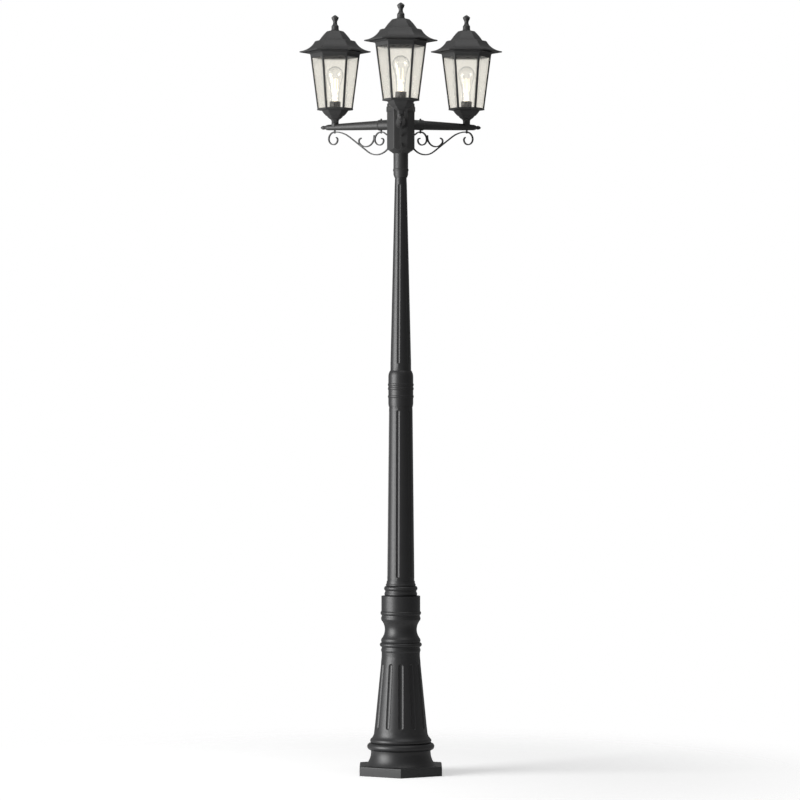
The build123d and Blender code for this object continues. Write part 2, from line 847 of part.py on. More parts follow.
for index, arm_name in enumerate(arm_names):
    angle = radians(front_angle + index * arm_spacing)
    way = Vector(cos(angle), sin(angle), 0)
    pole_y = (index - (arm_count - 1) / 2) * block_pitch
    route = [
        Vector(block_offset, pole_y, block_top),
        Vector(block_offset, pole_y, block_top + wire_lean_low),
        way * wire_ring + Vector(0, 0, block_top + wire_lean_high),
        way * wire_ring + Vector(0, 0, arm_z),
        way * arm_reach + Vector(0, 0, arm_z),
        way * arm_reach + Vector(0, 0, lantern_z + nipple_top),
    ]
    bends = [wire_lean_bend, wire_lean_bend, wire_hub_bend, wire_lamp_bend]
    with BuildLine() as wire_path:
        FilletPolyline(*route, radius=bends)
    with BuildPart() as lamp_wire:
        with BuildSketch(Plane(route[0], z_dir=(0, 0, 1))):
            Circle(wire_diameter / 2)
        sweep(path=wire_path.wire())
    wire_length = wire_path.wire().length
    tube_volume = pi * wire_diameter**2 / 4 * wire_length
    print(
        f"{arm_name}_lamp_wire: {wire_length:.0f} mm long, bends {bends} mm,",
        f"volume over section times length {lamp_wire.part.volume / tube_volume:.4f}",
    )
    hand_in(lamp_wire, f"{arm_name}_lamp_wire")

# ---------------------------------------------------------------- arms: along +X, axis at z = 0

arm_length = arm_reach + arm_past_lantern
arm_shoulder = sleeve_end + mouth_ring_width
outer_bar_top = -outer_curl_drop + bar_thickness / 2
inner_bar_top = -inner_curl_drop + bar_thickness / 2
outer_screw_reach = arm_reach + outer_curl_reach
outer_screw_tip = -arm_bore_end - outer_screw_wall
inner_screw_tip = -arm_root_radius + scroll_thread_length

with BuildPart() as arm:
    with BuildSketch(Plane.XZ) as arm_outline:
        with BuildLine():
            root = (hub_flat - arm_thread_length, 0)
            taper_low = (arm_shoulder, arm_start_radius)
            taper_high = (arm_length, arm_end_radius)
            Polyline(
                root,
                (hub_flat - arm_thread_length, arm_thread_radius),
                (hub_flat, arm_thread_radius),
                (hub_flat, arm_root_radius),
                (arm_shoulder, arm_root_radius),
                taper_low,
            )
            taper_middle = ((arm_shoulder + arm_length) / 2, arm_middle_radius)
            ThreePointArc(taper_low, taper_middle, taper_high)
            Polyline(taper_high, (arm_length, 0), root)
        make_face()
    revolve(axis=Axis.X)
    with Locations((arm_reach, 0, 0)):
        Cylinder(pad_radius, pad_height, align=(Align.CENTER, Align.CENTER, Align.MIN))
    with Locations((outer_screw_reach, 0, 0)):
        Cylinder(
            scroll_boss_radius, -outer_bar_top, align=(Align.CENTER, Align.CENTER, Align.MAX)
        )
    with BuildSketch(Plane.XZ) as bore_outline:
        with BuildLine():
            Polyline(
                root,
                (hub_flat - arm_thread_length, arm_bore_root),
                (arm_shoulder, arm_bore_root),
                (arm_length, arm_bore_end),
                (arm_length, 0),
                close=True,
            )
        make_face()
    revolve(axis=Axis.X, mode=Mode.SUBTRACT)
    with BuildSketch(Plane.XY.offset(pad_height)):
        with Locations((arm_reach, 0)):
            Circle(nipple_radius + screw_clearance)
    extrude(amount=-pad_height, mode=Mode.SUBTRACT)
    for screw_reach, seat, tip in (
        (outer_screw_reach, outer_bar_top, outer_screw_tip),
        (inner_curl_reach, -arm_root_radius, inner_screw_tip),
    ):
        with BuildSketch(Plane.XY.offset(seat)):
            with Locations((screw_reach, 0)):
                Circle(scroll_screw_radius + screw_clearance)
        extrude(amount=tip - seat, mode=Mode.SUBTRACT)

place_on_arms(arm, "arm", height=arm_z)

with BuildPart() as arm_collar:
    with BuildSketch(Plane.XZ) as sleeve_outline:
        with BuildLine():
            mouth_low = (sleeve_end, sleeve_radius)
            mouth_high = (arm_shoulder, sleeve_radius)
            mouth_crest = (sleeve_end + mouth_ring_width / 2, sleeve_radius + mouth_ring_proud)
            Polyline((hub_flat, 0), (hub_flat, sleeve_radius), mouth_low)
            ThreePointArc(mouth_low, mouth_crest, mouth_high)
            Polyline(mouth_high, (arm_shoulder, 0), (hub_flat, 0))
        make_face()
    revolve(axis=Axis.X)
    with Locations((inner_curl_reach, 0, 0)):
        Cylinder(
            scroll_boss_radius, -inner_bar_top, align=(Align.CENTER, Align.CENTER, Align.MAX)
        )
    with BuildSketch(Plane.YZ.offset(hub_flat)):
        Circle(arm_root_radius + spigot_clearance)
    extrude(amount=arm_shoulder - hub_flat, mode=Mode.SUBTRACT)
    with BuildSketch(Plane.XY.offset(inner_bar_top)):
        with Locations((inner_curl_reach, 0)):
            Circle(scroll_screw_radius + screw_clearance)
    extrude(amount=-inner_bar_top, mode=Mode.SUBTRACT)

place_on_arms(arm_collar, "arm_collar", height=arm_z)

with BuildPart() as arm_finial:
    with BuildSketch(Plane.XZ) as finial_outline:
        with BuildLine():
            plug_end = (arm_length - arm_finial_plug, 0)
            nose_low = (arm_length, arm_end_radius)
            neck = (arm_length + arm_nose_length, arm_neck_radius)
            ball_crest = (neck[0] + arm_ball_length / 2, arm_ball_radius)
            ball_end = (neck[0] + arm_ball_length, arm_neck_radius / 2)
            Polyline(
                plug_end,
                (plug_end[0], arm_bore_end - spigot_clearance),
                (arm_length, arm_bore_end - spigot_clearance),
                nose_low,
            )
            TangentArc(nose_low, neck, tangent=(1, 0))
            ThreePointArc(neck, ball_crest, ball_end)
            Polyline(ball_end, (ball_end[0] + arm_tip_length, 0), plug_end)
        make_face()
    revolve(axis=Axis.X)

place_on_arms(arm_finial, "arm_finial", height=arm_z)

with BuildPart() as arm_lock_nut:
    with BuildSketch(Plane((hub_flat - hub_wall, 0, 0), z_dir=(-1, 0, 0))):
        RegularPolygon(lock_nut_across_flats / 2 / flat_ratio, 6)
        Circle(arm_thread_radius + screw_clearance, mode=Mode.SUBTRACT)
    extrude(amount=lock_nut_thickness)

place_as_group(arm_lock_nut, "arm_lock_nuts", height=arm_z)

# ---------------------------------------------------------------- scroll brackets: along +X

# The long S is a straight run that is tangent to two sweeps: the upper one hangs from the top of
# the outer curl and bends down, the lower one bends up again to the hub.
outer_top = Vector(outer_screw_reach, -outer_curl_drop)
upper_middle = outer_top - Vector(0, upper_sweep_radius)
lower_middle = Vector(hub_flat + lower_sweep_reach, -lower_sweep_drop)
middles_apart = upper_middle - lower_middle
sweep_angle = degrees(
    asin((upper_sweep_radius + lower_sweep_radius) / middles_apart.length)
    + atan2(middles_apart.Y, middles_apart.X)
)
run_way = Vector(cos(radians(sweep_angle)), sin(radians(sweep_angle)))
run_normal = Vector(-run_way.Y, run_way.X)
run_high = upper_middle + run_normal * upper_sweep_radius
run_low = lower_middle - run_normal * lower_sweep_radius
hub_turn = degrees(asin(lower_sweep_reach / lower_sweep_radius))

inner_top = Vector(inner_curl_reach, -inner_curl_drop)
inner_middle = inner_top - Vector(0, inner_curl_radii[0])
stem_way = Vector(cos(radians(inner_stem_slope)), sin(radians(inner_stem_slope)))
stem_top = inner_middle + Vector(-stem_way.Y, stem_way.X) * inner_curl_radii[0]
stem_foot = stem_top - stem_way * ((stem_top.X - hub_flat + bar_thickness) / stem_way.X)

# The C scroll is welded to the straight run and to the inner curl, so its middle lies at set
# distances from both.
bar_pitch = bar_thickness - weld_overlap
beside_run = run_low + run_normal * (c_scroll_radius + bar_pitch) - inner_middle
from_curl = inner_curl_radii[0] + c_scroll_radius + bar_pitch
along_run = beside_run.dot(run_way)
c_middle = inner_middle + beside_run + run_way * (
    sqrt(along_run**2 - beside_run.length**2 + from_curl**2) - along_run
)
to_curl = inner_middle - c_middle
curl_weld = degrees(atan2(to_curl.Y, to_curl.X))
run_weld = sweep_angle - 90
c_scroll_start = curl_weld % 360 - c_scroll_past_curl
c_scroll_turn = run_weld % 360 + c_scroll_past_run - c_scroll_start


def curl(start, heading, radii, turns):
    """Arcs that curl clockwise from start, each with its own radius and turn."""
    point = start
    for radius, turn in zip(radii, turns):
        arc = JernArc(point, heading, radius, -turn)
        point = arc @ 1
        heading = arc % 1


with BuildPart() as scroll:
    with BuildSketch(Plane.XZ) as bars:
        with BuildLine() as long_s:
            curl(outer_top, (1, 0), outer_curl_radii, (90, 90, 90, outer_curl_end))
            JernArc(outer_top, (-1, 0), upper_sweep_radius, sweep_angle)
            Line(run_high, run_low)
            lower_sweep = JernArc(
                run_low, -run_way, lower_sweep_radius, -sweep_angle - hub_turn
            )
            Line(lower_sweep @ 1, (lower_sweep @ 1) + (lower_sweep % 1) * bar_thickness)
        trace(line_width=bar_thickness)
        with BuildLine() as inner_curl:
            Line(stem_foot, stem_top)
            first_turn = 90 + inner_stem_slope
            curl(stem_top, stem_way, inner_curl_radii, (first_turn, 90, 90, inner_curl_end))
        trace(line_width=bar_thickness)
        with BuildLine() as c_scroll:
            bend = CenterArc(c_middle, c_scroll_radius, c_scroll_start, c_scroll_turn)
            JernArc(bend @ 1, bend % 1, c_hook_radius, c_hook_turn)
        trace(line_width=bar_thickness)
    extrude(amount=bar_width / 2, both=True)
    split(bisect_by=Plane((hub_flat, 0, 0), z_dir=(1, 0, 0)), keep=Keep.TOP)
    for screw_reach, bar_top in (
        (outer_screw_reach, outer_bar_top),
        (inner_curl_reach, inner_bar_top),
    ):
        with BuildSketch(Plane.XY.offset(bar_top)):
            with Locations((screw_reach, 0)):
                Circle(scroll_screw_radius + screw_clearance)
        extrude(amount=-bar_thickness, mode=Mode.SUBTRACT)
        with BuildSketch(Plane.XY.offset(bar_top - bar_thickness)):
            with Locations((screw_reach, 0)):
                Circle(scroll_head_radius + screw_clearance)
        extrude(amount=-scroll_head_height, mode=Mode.SUBTRACT)

place_on_arms(scroll, "scroll", height=arm_z)

with BuildPart() as scroll_screw_pair:
    for screw_reach, bar_top, tip in (
        (outer_screw_reach, outer_bar_top, outer_screw_tip),
        (inner_curl_reach, inner_bar_top, inner_screw_tip),
    ):
        with Locations((screw_reach, 0, bar_top - bar_thickness)):
            Cylinder(
                scroll_head_radius,
                scroll_head_height,
                align=(Align.CENTER, Align.CENTER, Align.MAX),
            )
            Cylinder(
                scroll_screw_radius,
                tip - bar_top + bar_thickness,
                align=(Align.CENTER, Align.CENTER, Align.MIN),
            )

place_as_group(scroll_screw_pair, "scroll_screws", height=arm_z)

# ---------------------------------------------------------------- lantern: bowl

with BuildSketch(Plane.XZ) as bowl_outline:
    with BuildLine():
        neck_top = (side_reach(bowl_neck_corner), bowl_neck_height)
        throat = (side_reach(bowl_throat_corner), bowl_throat_height)
        step = (side_reach(bowl_step_corner), bowl_step_height)
        rim = (side_reach(bowl_rim_corner), bowl_height)
        Polyline((0, 0), (side_reach(bowl_neck_corner), 0), neck_top)
        lower_flare = TangentArc(neck_top, throat, tangent=(0, 1))
        TangentArc(throat, step, tangent=lower_flare % 1)
        step_outer = (step[0] + bowl_step, bowl_step_height)
        Line(step, step_outer)
        bulge = (side_reach(bowl_bulge_corner), bowl_bulge_height)
        ThreePointArc(step_outer, bulge, rim)
        Polyline(rim, (0, bowl_height), (0, 0))
    make_face()

bowl_side = mitred_side(bowl_outline, bowl_rim_corner)

with BuildPart() as bowl:
    with PolarLocations(0, 6):
        add(bowl_side.part)
    with BuildSketch(Plane.XZ) as cavity_outline:
        with BuildLine():
            Polyline(
                (0, bowl_floor_height),
                (throat[0] - bowl_wall, bowl_floor_height),
                (step[0] - bowl_wall, bowl_step_height),
                (bulge[0] - bowl_wall, bowl_bulge_height),
                (rim[0] - bowl_wall, bowl_height),
                (0, bowl_height),
                close=True,
            )
        make_face()
    revolve(axis=Axis.Z, mode=Mode.SUBTRACT)
    with BuildSketch(Plane.XY.offset(bowl_height)):
        with PolarLocations(cage_screw_circle, cage_screw_count, start_angle=30):
            Circle(cage_boss_radius)
    extrude(amount=-bowl_boss_height)
    with BuildSketch(Plane.XY.offset(bowl_height)):
        with PolarLocations(cage_screw_circle, cage_screw_count, start_angle=30):
            Circle(cage_screw_radius + screw_clearance)
    extrude(amount=plate_thickness - cage_screw_length, mode=Mode.SUBTRACT)
    with BuildSketch():
        Circle(nipple_radius + screw_clearance)
    extrude(amount=bowl_floor_height, mode=Mode.SUBTRACT)

place_on_arms(bowl, "bowl", arm_reach, lantern_z)

# ---------------------------------------------------------------- lantern: cage and panes

cage_low_reach = side_reach(cage_low_corner)
cage_high_reach = side_reach(cage_high_corner)
rim_reach = side_reach(rim_corner)
side_ratio = tan(radians(30))  # half the length of a hexagon's side over its reach


def cage_reach(height):
    """Distance from the lantern's axis to the outside of the cage's wall at a height."""
    return cage_low_reach + (cage_high_reach - cage_low_reach) * (height - cage_low) / cage_wall_height


with BuildSketch(Plane.XZ) as cage_outline:
    with BuildLine():
        wall_top = (cage_high_reach, cage_top)
        lip_low = (rim_reach, rim_top - rim_lip)
        Polyline(
            (0, bowl_height),
            (side_reach(plate_corner), bowl_height),
            (side_reach(plate_corner), cage_low),
            (cage_low_reach, cage_low),
            wall_top,
        )
        TangentArc(
            wall_top, lip_low, tangent=(cage_high_reach - cage_low_reach, cage_wall_height)
        )
        Polyline(
            lip_low,
            (rim_reach, rim_top),
            (rim_reach - rim_land, rim_top),
            (cage_high_reach - cage_wall, cage_top),
            (cage_low_reach - cage_wall, cage_low),
            (0, cage_low),
            (0, bowl_height),
        )
    make_face()

cage_side = mitred_side(cage_outline, rim_corner)

with BuildPart() as window_cutter:
    window_low = cage_low + bottom_rail
    window_high = cage_top - top_rail
    low_half = cage_reach(window_low) * side_ratio - corner_flange
    high_half = cage_reach(window_high) * side_ratio - corner_flange
    with BuildSketch(Plane.YZ.offset(cage_low_reach / 2)):
        with BuildLine():
            Polyline(
                (-low_half, window_low),
                (low_half, window_low),
                (high_half, window_high),
                (-high_half, window_high),
                close=True,
            )
        make_face()
    extrude(amount=rim_reach)

skirt_reach = cage_high_reach - cage_wall - running_gap
skirt_low = roof_seat - skirt_depth
grub_screw_low = skirt_reach + running_gap
grub_screw_level = (skirt_low + rim_top) / 2

with BuildPart() as cage:
    with PolarLocations(0, 6):
        add(cage_side.part)
    with PolarLocations(0, 6):
        add(window_cutter.part, mode=Mode.SUBTRACT)
    with BuildSketch(Plane.XY.offset(bowl_height)):
        Circle(plate_hole_radius)
        with PolarLocations(cage_screw_circle, cage_screw_count, start_angle=30):
            Circle(cage_screw_radius + screw_clearance)
    extrude(amount=plate_thickness, mode=Mode.SUBTRACT)
    with Locations((0, 0, grub_screw_level)):
        with PolarLocations(0, cage_screw_count):
            Cylinder(
                grub_screw_radius + screw_clearance,
                rim_corner,
                rotation=(0, 90, 0),
                align=(Align.CENTER, Align.CENTER, Align.MIN),
                mode=Mode.SUBTRACT,
            )

place_on_arms(cage, "cage", arm_reach, lantern_z)

pane_low_reach = cage_low_reach - cage_wall - pane_gap
pane_high_reach = cage_high_reach - cage_wall - pane_gap

with BuildSketch(Plane.XZ) as pane_outline:
    with BuildLine():
        Polyline(
            (pane_low_reach - pane_thickness, cage_low),
            (pane_low_reach, cage_low),
            (pane_high_reach, cage_top),
            (pane_high_reach - pane_thickness, cage_top),
            close=True,
        )
    make_face()

pane_side = mitred_side(pane_outline, cage_high_corner, gap=2 * pane_gap)

with BuildPart() as panes:
    with PolarLocations(0, 6):
        add(pane_side.part)

place_on_arms(panes, "panes", arm_reach, lantern_z)

# ---------------------------------------------------------------- lantern: roof and finial

brim_reach = side_reach(brim_corner)
brim_low = roof_seat - brim_droop
crown_top = roof_seat + crown_height
brim_top = Vector(brim_reach, brim_low + brim_edge)
shoulder = Vector(side_reach(shoulder_corner), roof_seat + shoulder_height)
terrace = (side_reach(terrace_corner), roof_seat + terrace_height)
dome_low = (side_reach(dome_low_corner), roof_seat + dome_low_height)
dome_middle = (side_reach(dome_middle_corner), roof_seat + dome_middle_height)
dome_high = (side_reach(dome_high_corner), roof_seat + dome_high_height)
flare_chord = shoulder - brim_top
flare_rise = sqrt(flare_radius**2 - flare_chord.length**2 / 4)
flare_middle = (brim_top + shoulder) / 2 + Vector(
    flare_chord.Y, -flare_chord.X
).normalized() * flare_rise


def flare_point(reach, inset=0):
    """Point on the brim's hollow sweep at a distance from the axis, or that far beneath it."""
    drop = sqrt((flare_radius + inset) ** 2 - (flare_middle.X - reach) ** 2)
    return (reach, flare_middle.Y - drop)


def flare_arc(start_reach, end_reach, inset=0):
    ThreePointArc(
        flare_point(start_reach, inset),
        flare_point((start_reach + end_reach) / 2, inset),
        flare_point(end_reach, inset),
    )


skirt_inside = skirt_reach - skirt_wall
seat_edge = skirt_reach + roof_seat_width
drip_inside = brim_reach - roof_wall
flare_inside = shoulder.X - roof_wall / 2

with BuildSketch(Plane.XZ) as roof_outline:
    with BuildLine():
        Line((brim_reach, brim_low), brim_top)
        flare_arc(brim_reach, shoulder.X)
        Polyline(shoulder, terrace, dome_low)
        ThreePointArc(dome_low, dome_middle, dome_high)
        Polyline(dome_high, (crown_radius, crown_top), (0, crown_top))
        Polyline((0, crown_top), (0, crown_top - roof_wall))
        dome_ceiling = (dome_high[0] - roof_wall, crown_top - roof_wall)
        Line((0, crown_top - roof_wall), dome_ceiling)
        dome_inside = (dome_low[0] - roof_wall, dome_low[1] - roof_wall)
        ThreePointArc(
            dome_ceiling, (dome_middle[0] - roof_wall, dome_middle[1] - roof_wall / 2), dome_inside
        )
        Line(dome_inside, flare_point(flare_inside, roof_wall))
        flare_arc(flare_inside, skirt_inside, roof_wall)
        Polyline(
            flare_point(skirt_inside, roof_wall),
            (skirt_inside, skirt_low),
            (skirt_reach, skirt_low),
            (skirt_reach, roof_seat),
            (seat_edge, roof_seat),
            flare_point(seat_edge, roof_wall),
        )
        flare_arc(seat_edge, drip_inside, roof_wall)
        Polyline(
            flare_point(drip_inside, roof_wall), (drip_inside, brim_low), (brim_reach, brim_low)
        )
    make_face()

roof_side = mitred_side(roof_outline, brim_corner)

with BuildPart() as roof:
    with PolarLocations(0, 6):
        add(roof_side.part)
    with BuildSketch(Plane.XY.offset(crown_top)):
        Circle(finial_boss_radius)
    extrude(amount=-finial_stud_length - running_gap)
    with BuildSketch(Plane.XY.offset(crown_top)):
        Circle(finial_stud_radius + screw_clearance)
    extrude(amount=-finial_stud_length - running_gap, mode=Mode.SUBTRACT)

place_on_arms(roof, "roof", arm_reach, lantern_z)

with BuildPart() as finial:
    with BuildSketch(Plane.XZ) as finial_outline:
        with BuildLine():
            stud_low = (0, -finial_stud_length)
            foot = (crown_radius, 0)
            drum_low = (finial_drum_radius, finial_drum_low)
            drum_high = (finial_drum_radius, finial_drum_high)
            drum_shoulder = (finial_shoulder_radius, finial_shoulder_height)
            neck = (finial_neck_radius, finial_neck_height)
            cup = (finial_cup_radius, finial_cup_height)
            lip = (finial_lip_radius, finial_lip_height)
            Polyline(
                stud_low,
                (finial_stud_radius, -finial_stud_length),
                (finial_stud_radius, 0),
                foot,
                drum_low,
                drum_high,
            )
            TangentArc(drum_high, drum_shoulder, tangent=(0, 1))
            ThreePointArc(drum_shoulder, neck, cup)
            lip_top = (finial_lip_radius, finial_lip_height + finial_lip_edge)
            tip_low = (finial_tip_radius, finial_height - finial_tip_radius / 2)
            Polyline(cup, lip, lip_top)
            TangentArc(lip_top, tip_low, tangent=(-1, 1))
            Polyline(tip_low, (0, finial_height), stud_low)
        make_face()
    revolve(axis=Axis.Z)

place_on_arms(finial, "finial", arm_reach, lantern_z + finial_seat)

# ---------------------------------------------------------------- lampholder and bulb

with BuildPart() as lampholder:
    with BuildSketch(Plane.XZ) as holder_outline:
        with BuildLine():
            Polyline(
                (0, holder_low),
                (holder_foot_radius, holder_low),
                (holder_radius, holder_low + holder_taper),
                (holder_radius, holder_top - holder_round),
            )
            RadiusArc(
                (holder_radius, holder_top - holder_round),
                (holder_radius - holder_round, holder_top),
                -holder_round,
            )
            Polyline(
                (holder_radius - holder_round, holder_top),
                (holder_mouth_radius, holder_top),
                (holder_mouth_radius, holder_top - holder_mouth_depth),
                (0, holder_top - holder_mouth_depth),
                (0, holder_low),
            )
        make_face()
    revolve(axis=Axis.Z)
    with BuildSketch(Plane.XY.offset(holder_low)):
        Circle(nipple_radius + screw_clearance)
    extrude(amount=nipple_top - holder_low, mode=Mode.SUBTRACT)

place_on_arms(lampholder, "lampholder", arm_reach, lantern_z)

with BuildPart() as bulb_cap:
    with BuildSketch(Plane.XY.offset(bulb_cap_low)):
        Circle(bulb_cap_radius)
    extrude(amount=bulb_cap_height)
    with BuildSketch(Plane.XY.offset(globe_low)):
        Circle(bulb_cap_radius - bulb_cap_wall)
    extrude(amount=bulb_cap_wall - bulb_cap_height, mode=Mode.SUBTRACT)

place_on_arms(bulb_cap, "bulb_cap", arm_reach, lantern_z)


def glass_outline(inset):
    """Half outline of the bulb's glass: straight neck, long flare, round end."""
    round_radius = bulb_radius - inset
    neck_radius = bulb_neck_radius - inset
    middle = globe_low + bulb_middle
    angle = radians(bulb_shoulder_angle)
    flare_top = (round_radius * cos(angle), middle - round_radius * sin(angle))
    flare_low = (neck_radius, flare_top[1] - (flare_top[0] - neck_radius) / tan(angle / 2))
    with BuildSketch(Plane.XZ) as outline:
        with BuildLine():
            Polyline((0, globe_low), (neck_radius, globe_low), flare_low)
            TangentArc(flare_low, flare_top, tangent=(0, 1))
            ThreePointArc(flare_top, (round_radius, middle), (0, middle + round_radius))
            Line((0, middle + round_radius), (0, globe_low))
        make_face()
    return outline


outer_glass = glass_outline(0)
inner_glass = glass_outline(bulb_glass)

with BuildPart() as bulb_globe:
    revolve(outer_glass.sketch, axis=Axis.Z)
    revolve(inner_glass.sketch, axis=Axis.Z, mode=Mode.SUBTRACT)

place_on_arms(bulb_globe, "bulb_globe", arm_reach, lantern_z)

with BuildPart() as bulb_stem:
    neck_inside = bulb_neck_radius - bulb_glass - spigot_clearance
    stem_top = globe_low + stem_height
    for level, radius, height in (
        (globe_low, neck_inside, stem_disc),
        (globe_low, stem_radius, stem_height),
        (stem_top, stem_disc_radius, stem_disc),
    ):
        with BuildSketch(Plane.XY.offset(level)):
            Circle(radius)
        extrude(amount=height)
    with BuildSketch(Plane.XY.offset(stem_top)):
        with PolarLocations(filament_circle, filament_count, start_angle=45):
            Circle(filament_radius)
    extrude(amount=filament_length)

place_on_arms(bulb_stem, "bulb_stem", arm_reach, lantern_z)

# ---------------------------------------------------------------- lantern fasteners

with BuildPart() as lantern_nipple:
    with BuildSketch(Plane.XY.offset(-nipple_thread)):
        Circle(nipple_radius)
        Circle(nipple_bore, mode=Mode.SUBTRACT)
    extrude(amount=nipple_thread + nipple_top)

place_as_group(lantern_nipple, "lantern_nipples", arm_reach, lantern_z)

with BuildPart() as nipple_nut:
    with BuildSketch(Plane.XY.offset(bowl_floor_height)):
        RegularPolygon(nipple_nut_across_flats / 2 / flat_ratio, 6)
        Circle(nipple_radius + screw_clearance, mode=Mode.SUBTRACT)
    extrude(amount=nipple_nut_height)

place_as_group(nipple_nut, "nipple_nuts", arm_reach, lantern_z)

with BuildPart() as cage_screw_set:
    with BuildSketch(Plane.XY.offset(cage_low)):
        with PolarLocations(cage_screw_circle, cage_screw_count, start_angle=30):
            Circle(cage_screw_radius)
    extrude(amount=-cage_screw_length)
    with BuildSketch(Plane.XY.offset(cage_low)):
        with PolarLocations(cage_screw_circle, cage_screw_count, start_angle=30):
            Circle(cage_screw_head_radius)
    extrude(amount=cage_screw_head_height)

place_as_group(cage_screw_set, "cage_screws", arm_reach, lantern_z)

with BuildPart() as roof_screw_set:
    with Locations((0, 0, grub_screw_level)):
        with PolarLocations(grub_screw_low, cage_screw_count):
            Cylinder(
                grub_screw_radius,
                grub_screw_length,
                rotation=(0, 90, 0),
                align=(Align.CENTER, Align.CENTER, Align.MIN),
            )

place_as_group(roof_screw_set, "roof_screws", arm_reach, lantern_z)
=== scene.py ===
from math import asin, atan2, cos, degrees, hypot, pi, radians, sin, sqrt, tan

import bmesh
import bpy
from mathutils import Matrix, Vector


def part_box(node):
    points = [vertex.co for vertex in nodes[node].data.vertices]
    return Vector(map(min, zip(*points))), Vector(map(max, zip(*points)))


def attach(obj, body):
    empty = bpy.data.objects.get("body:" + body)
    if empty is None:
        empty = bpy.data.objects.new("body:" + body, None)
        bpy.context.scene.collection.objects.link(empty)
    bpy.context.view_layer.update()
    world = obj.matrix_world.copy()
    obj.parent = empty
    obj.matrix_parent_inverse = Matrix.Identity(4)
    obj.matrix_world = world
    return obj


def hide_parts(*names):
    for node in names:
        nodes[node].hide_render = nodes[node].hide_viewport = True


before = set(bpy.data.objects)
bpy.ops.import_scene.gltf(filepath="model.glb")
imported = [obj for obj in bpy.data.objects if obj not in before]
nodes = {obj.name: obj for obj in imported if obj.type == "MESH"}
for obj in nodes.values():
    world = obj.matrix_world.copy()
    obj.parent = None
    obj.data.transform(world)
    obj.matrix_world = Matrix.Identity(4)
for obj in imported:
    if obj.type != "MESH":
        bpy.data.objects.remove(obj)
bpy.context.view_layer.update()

scene = bpy.context.scene
arm_angles = {"front": -90, "right": 30, "left": 150}

# ------------------------------------------------------------------ camera, floor and light
# The post is seen level from about eleven metres, in front of white. A tall soft lamp stands
# at the front left, and its strip of light runs down the whole column.

camera_data = bpy.data.cameras.new("camera")
camera_data.lens = 161.1
camera_data.sensor_width = 36
camera_data.clip_end = 60
camera = bpy.data.objects.new("camera", camera_data)
camera.location = (-0.0024, -10.74, 1.121)
camera.rotation_euler = (radians(90), 0, 0)
scene.collection.objects.link(camera)
scene.camera = camera
scene.view_settings.view_transform = "Standard"


def linear(colour):
    """Linear RGBA of an sRGB hex colour."""
    channels = [int(colour[place : place + 2], 16) / 255 for place in (1, 3, 5)]
    curved = [c / 12.92 if c <= 0.04045 else ((c + 0.055) / 1.055) ** 2.4 for c in channels]
    return (*curved, 1)


def wire(tree, node, inputs):
    """Give each input of a node a value, or the socket that feeds it."""
    for name, value in inputs.items():
        if isinstance(value, bpy.types.NodeSocket):
            tree.links.new(value, node.inputs[name])
        else:
            node.inputs[name].default_value = value


def add_node(tree, kind, inputs, output=0, **properties):
    """Add a node, and hand back one of its outputs."""
    node = tree.nodes.new(kind)
    for name, value in properties.items():
        setattr(node, name, value)
    wire(tree, node, inputs)
    return node.outputs[output] if node.outputs else None


def calculate(tree, operation, first, second):
    return add_node(tree, "ShaderNodeMath", {0: first, 1: second}, operation=operation)


def ranged(tree, value, low, high, start=0.0, end=1.0, **properties):
    """Carry a value that runs from start to end over to the range from low to high."""
    ends = {"From Min": start, "From Max": end, "To Min": low, "To Max": high}
    return add_node(tree, "ShaderNodeMapRange", {"Value": value, **ends}, **properties)


def add_lamp(name, place, aim, width, height, power):
    """Soft box that faces a point."""
    light = bpy.data.lights.new(name, "AREA")
    light.shape = "RECTANGLE"
    light.size = width
    light.size_y = height
    light.energy = power
    lamp = bpy.data.objects.new(name, light)
    lamp.location = place
    lamp.rotation_euler = (Vector(aim) - Vector(place)).to_track_quat("-Z", "Y").to_euler()
    scene.collection.objects.link(lamp)


key_turn = radians(68)  # left of the camera, seen from above
key_distance = 3.6
key_place = (-key_distance * sin(key_turn), -key_distance * cos(key_turn), 1.3)
add_lamp("key_lamp", key_place, (0, 0, 1.2), 2.4, 3.2, 230)
add_lamp("top_lamp", (0.3, -0.6, 4.6), (0, 0, 1.8), 2.6, 2.6, 36)

# The backdrop is white wherever it is seen, also through glass, and only a pale grey in a gloss,
# and it gives the object itself only a dim grey light.
backdrop_light = 0.17
gloss_light = 0.1
world = bpy.data.worlds.new("studio")
world.use_nodes = True
scene.world = world
tree = world.node_tree
tree.nodes.clear()
to_camera = add_node(tree, "ShaderNodeLightPath", {}, "Is Camera Ray")
through_glass = add_node(tree, "ShaderNodeLightPath", {}, "Is Transmission Ray")
off_gloss = add_node(tree, "ShaderNodeLightPath", {}, "Is Glossy Ray")
white = calculate(
    tree,
    "MAXIMUM",
    calculate(tree, "MAXIMUM", to_camera, through_glass),
    calculate(tree, "MULTIPLY", off_gloss, gloss_light),
)
strength = ranged(tree, white, backdrop_light, 1)
glow = add_node(tree, "ShaderNodeBackground", {"Color": (1, 1, 1, 1), "Strength": strength})
add_node(tree, "ShaderNodeOutputWorld", {"Surface": glow})

floor_radius = 2.2
mesh = bmesh.new()
bmesh.ops.create_circle(mesh, cap_ends=True, radius=floor_radius, segments=96)
floor_data = bpy.data.meshes.new("floor")
mesh.to_mesh(floor_data)
mesh.free()
floor = bpy.data.objects.new("floor", floor_data)
scene.collection.objects.link(floor)

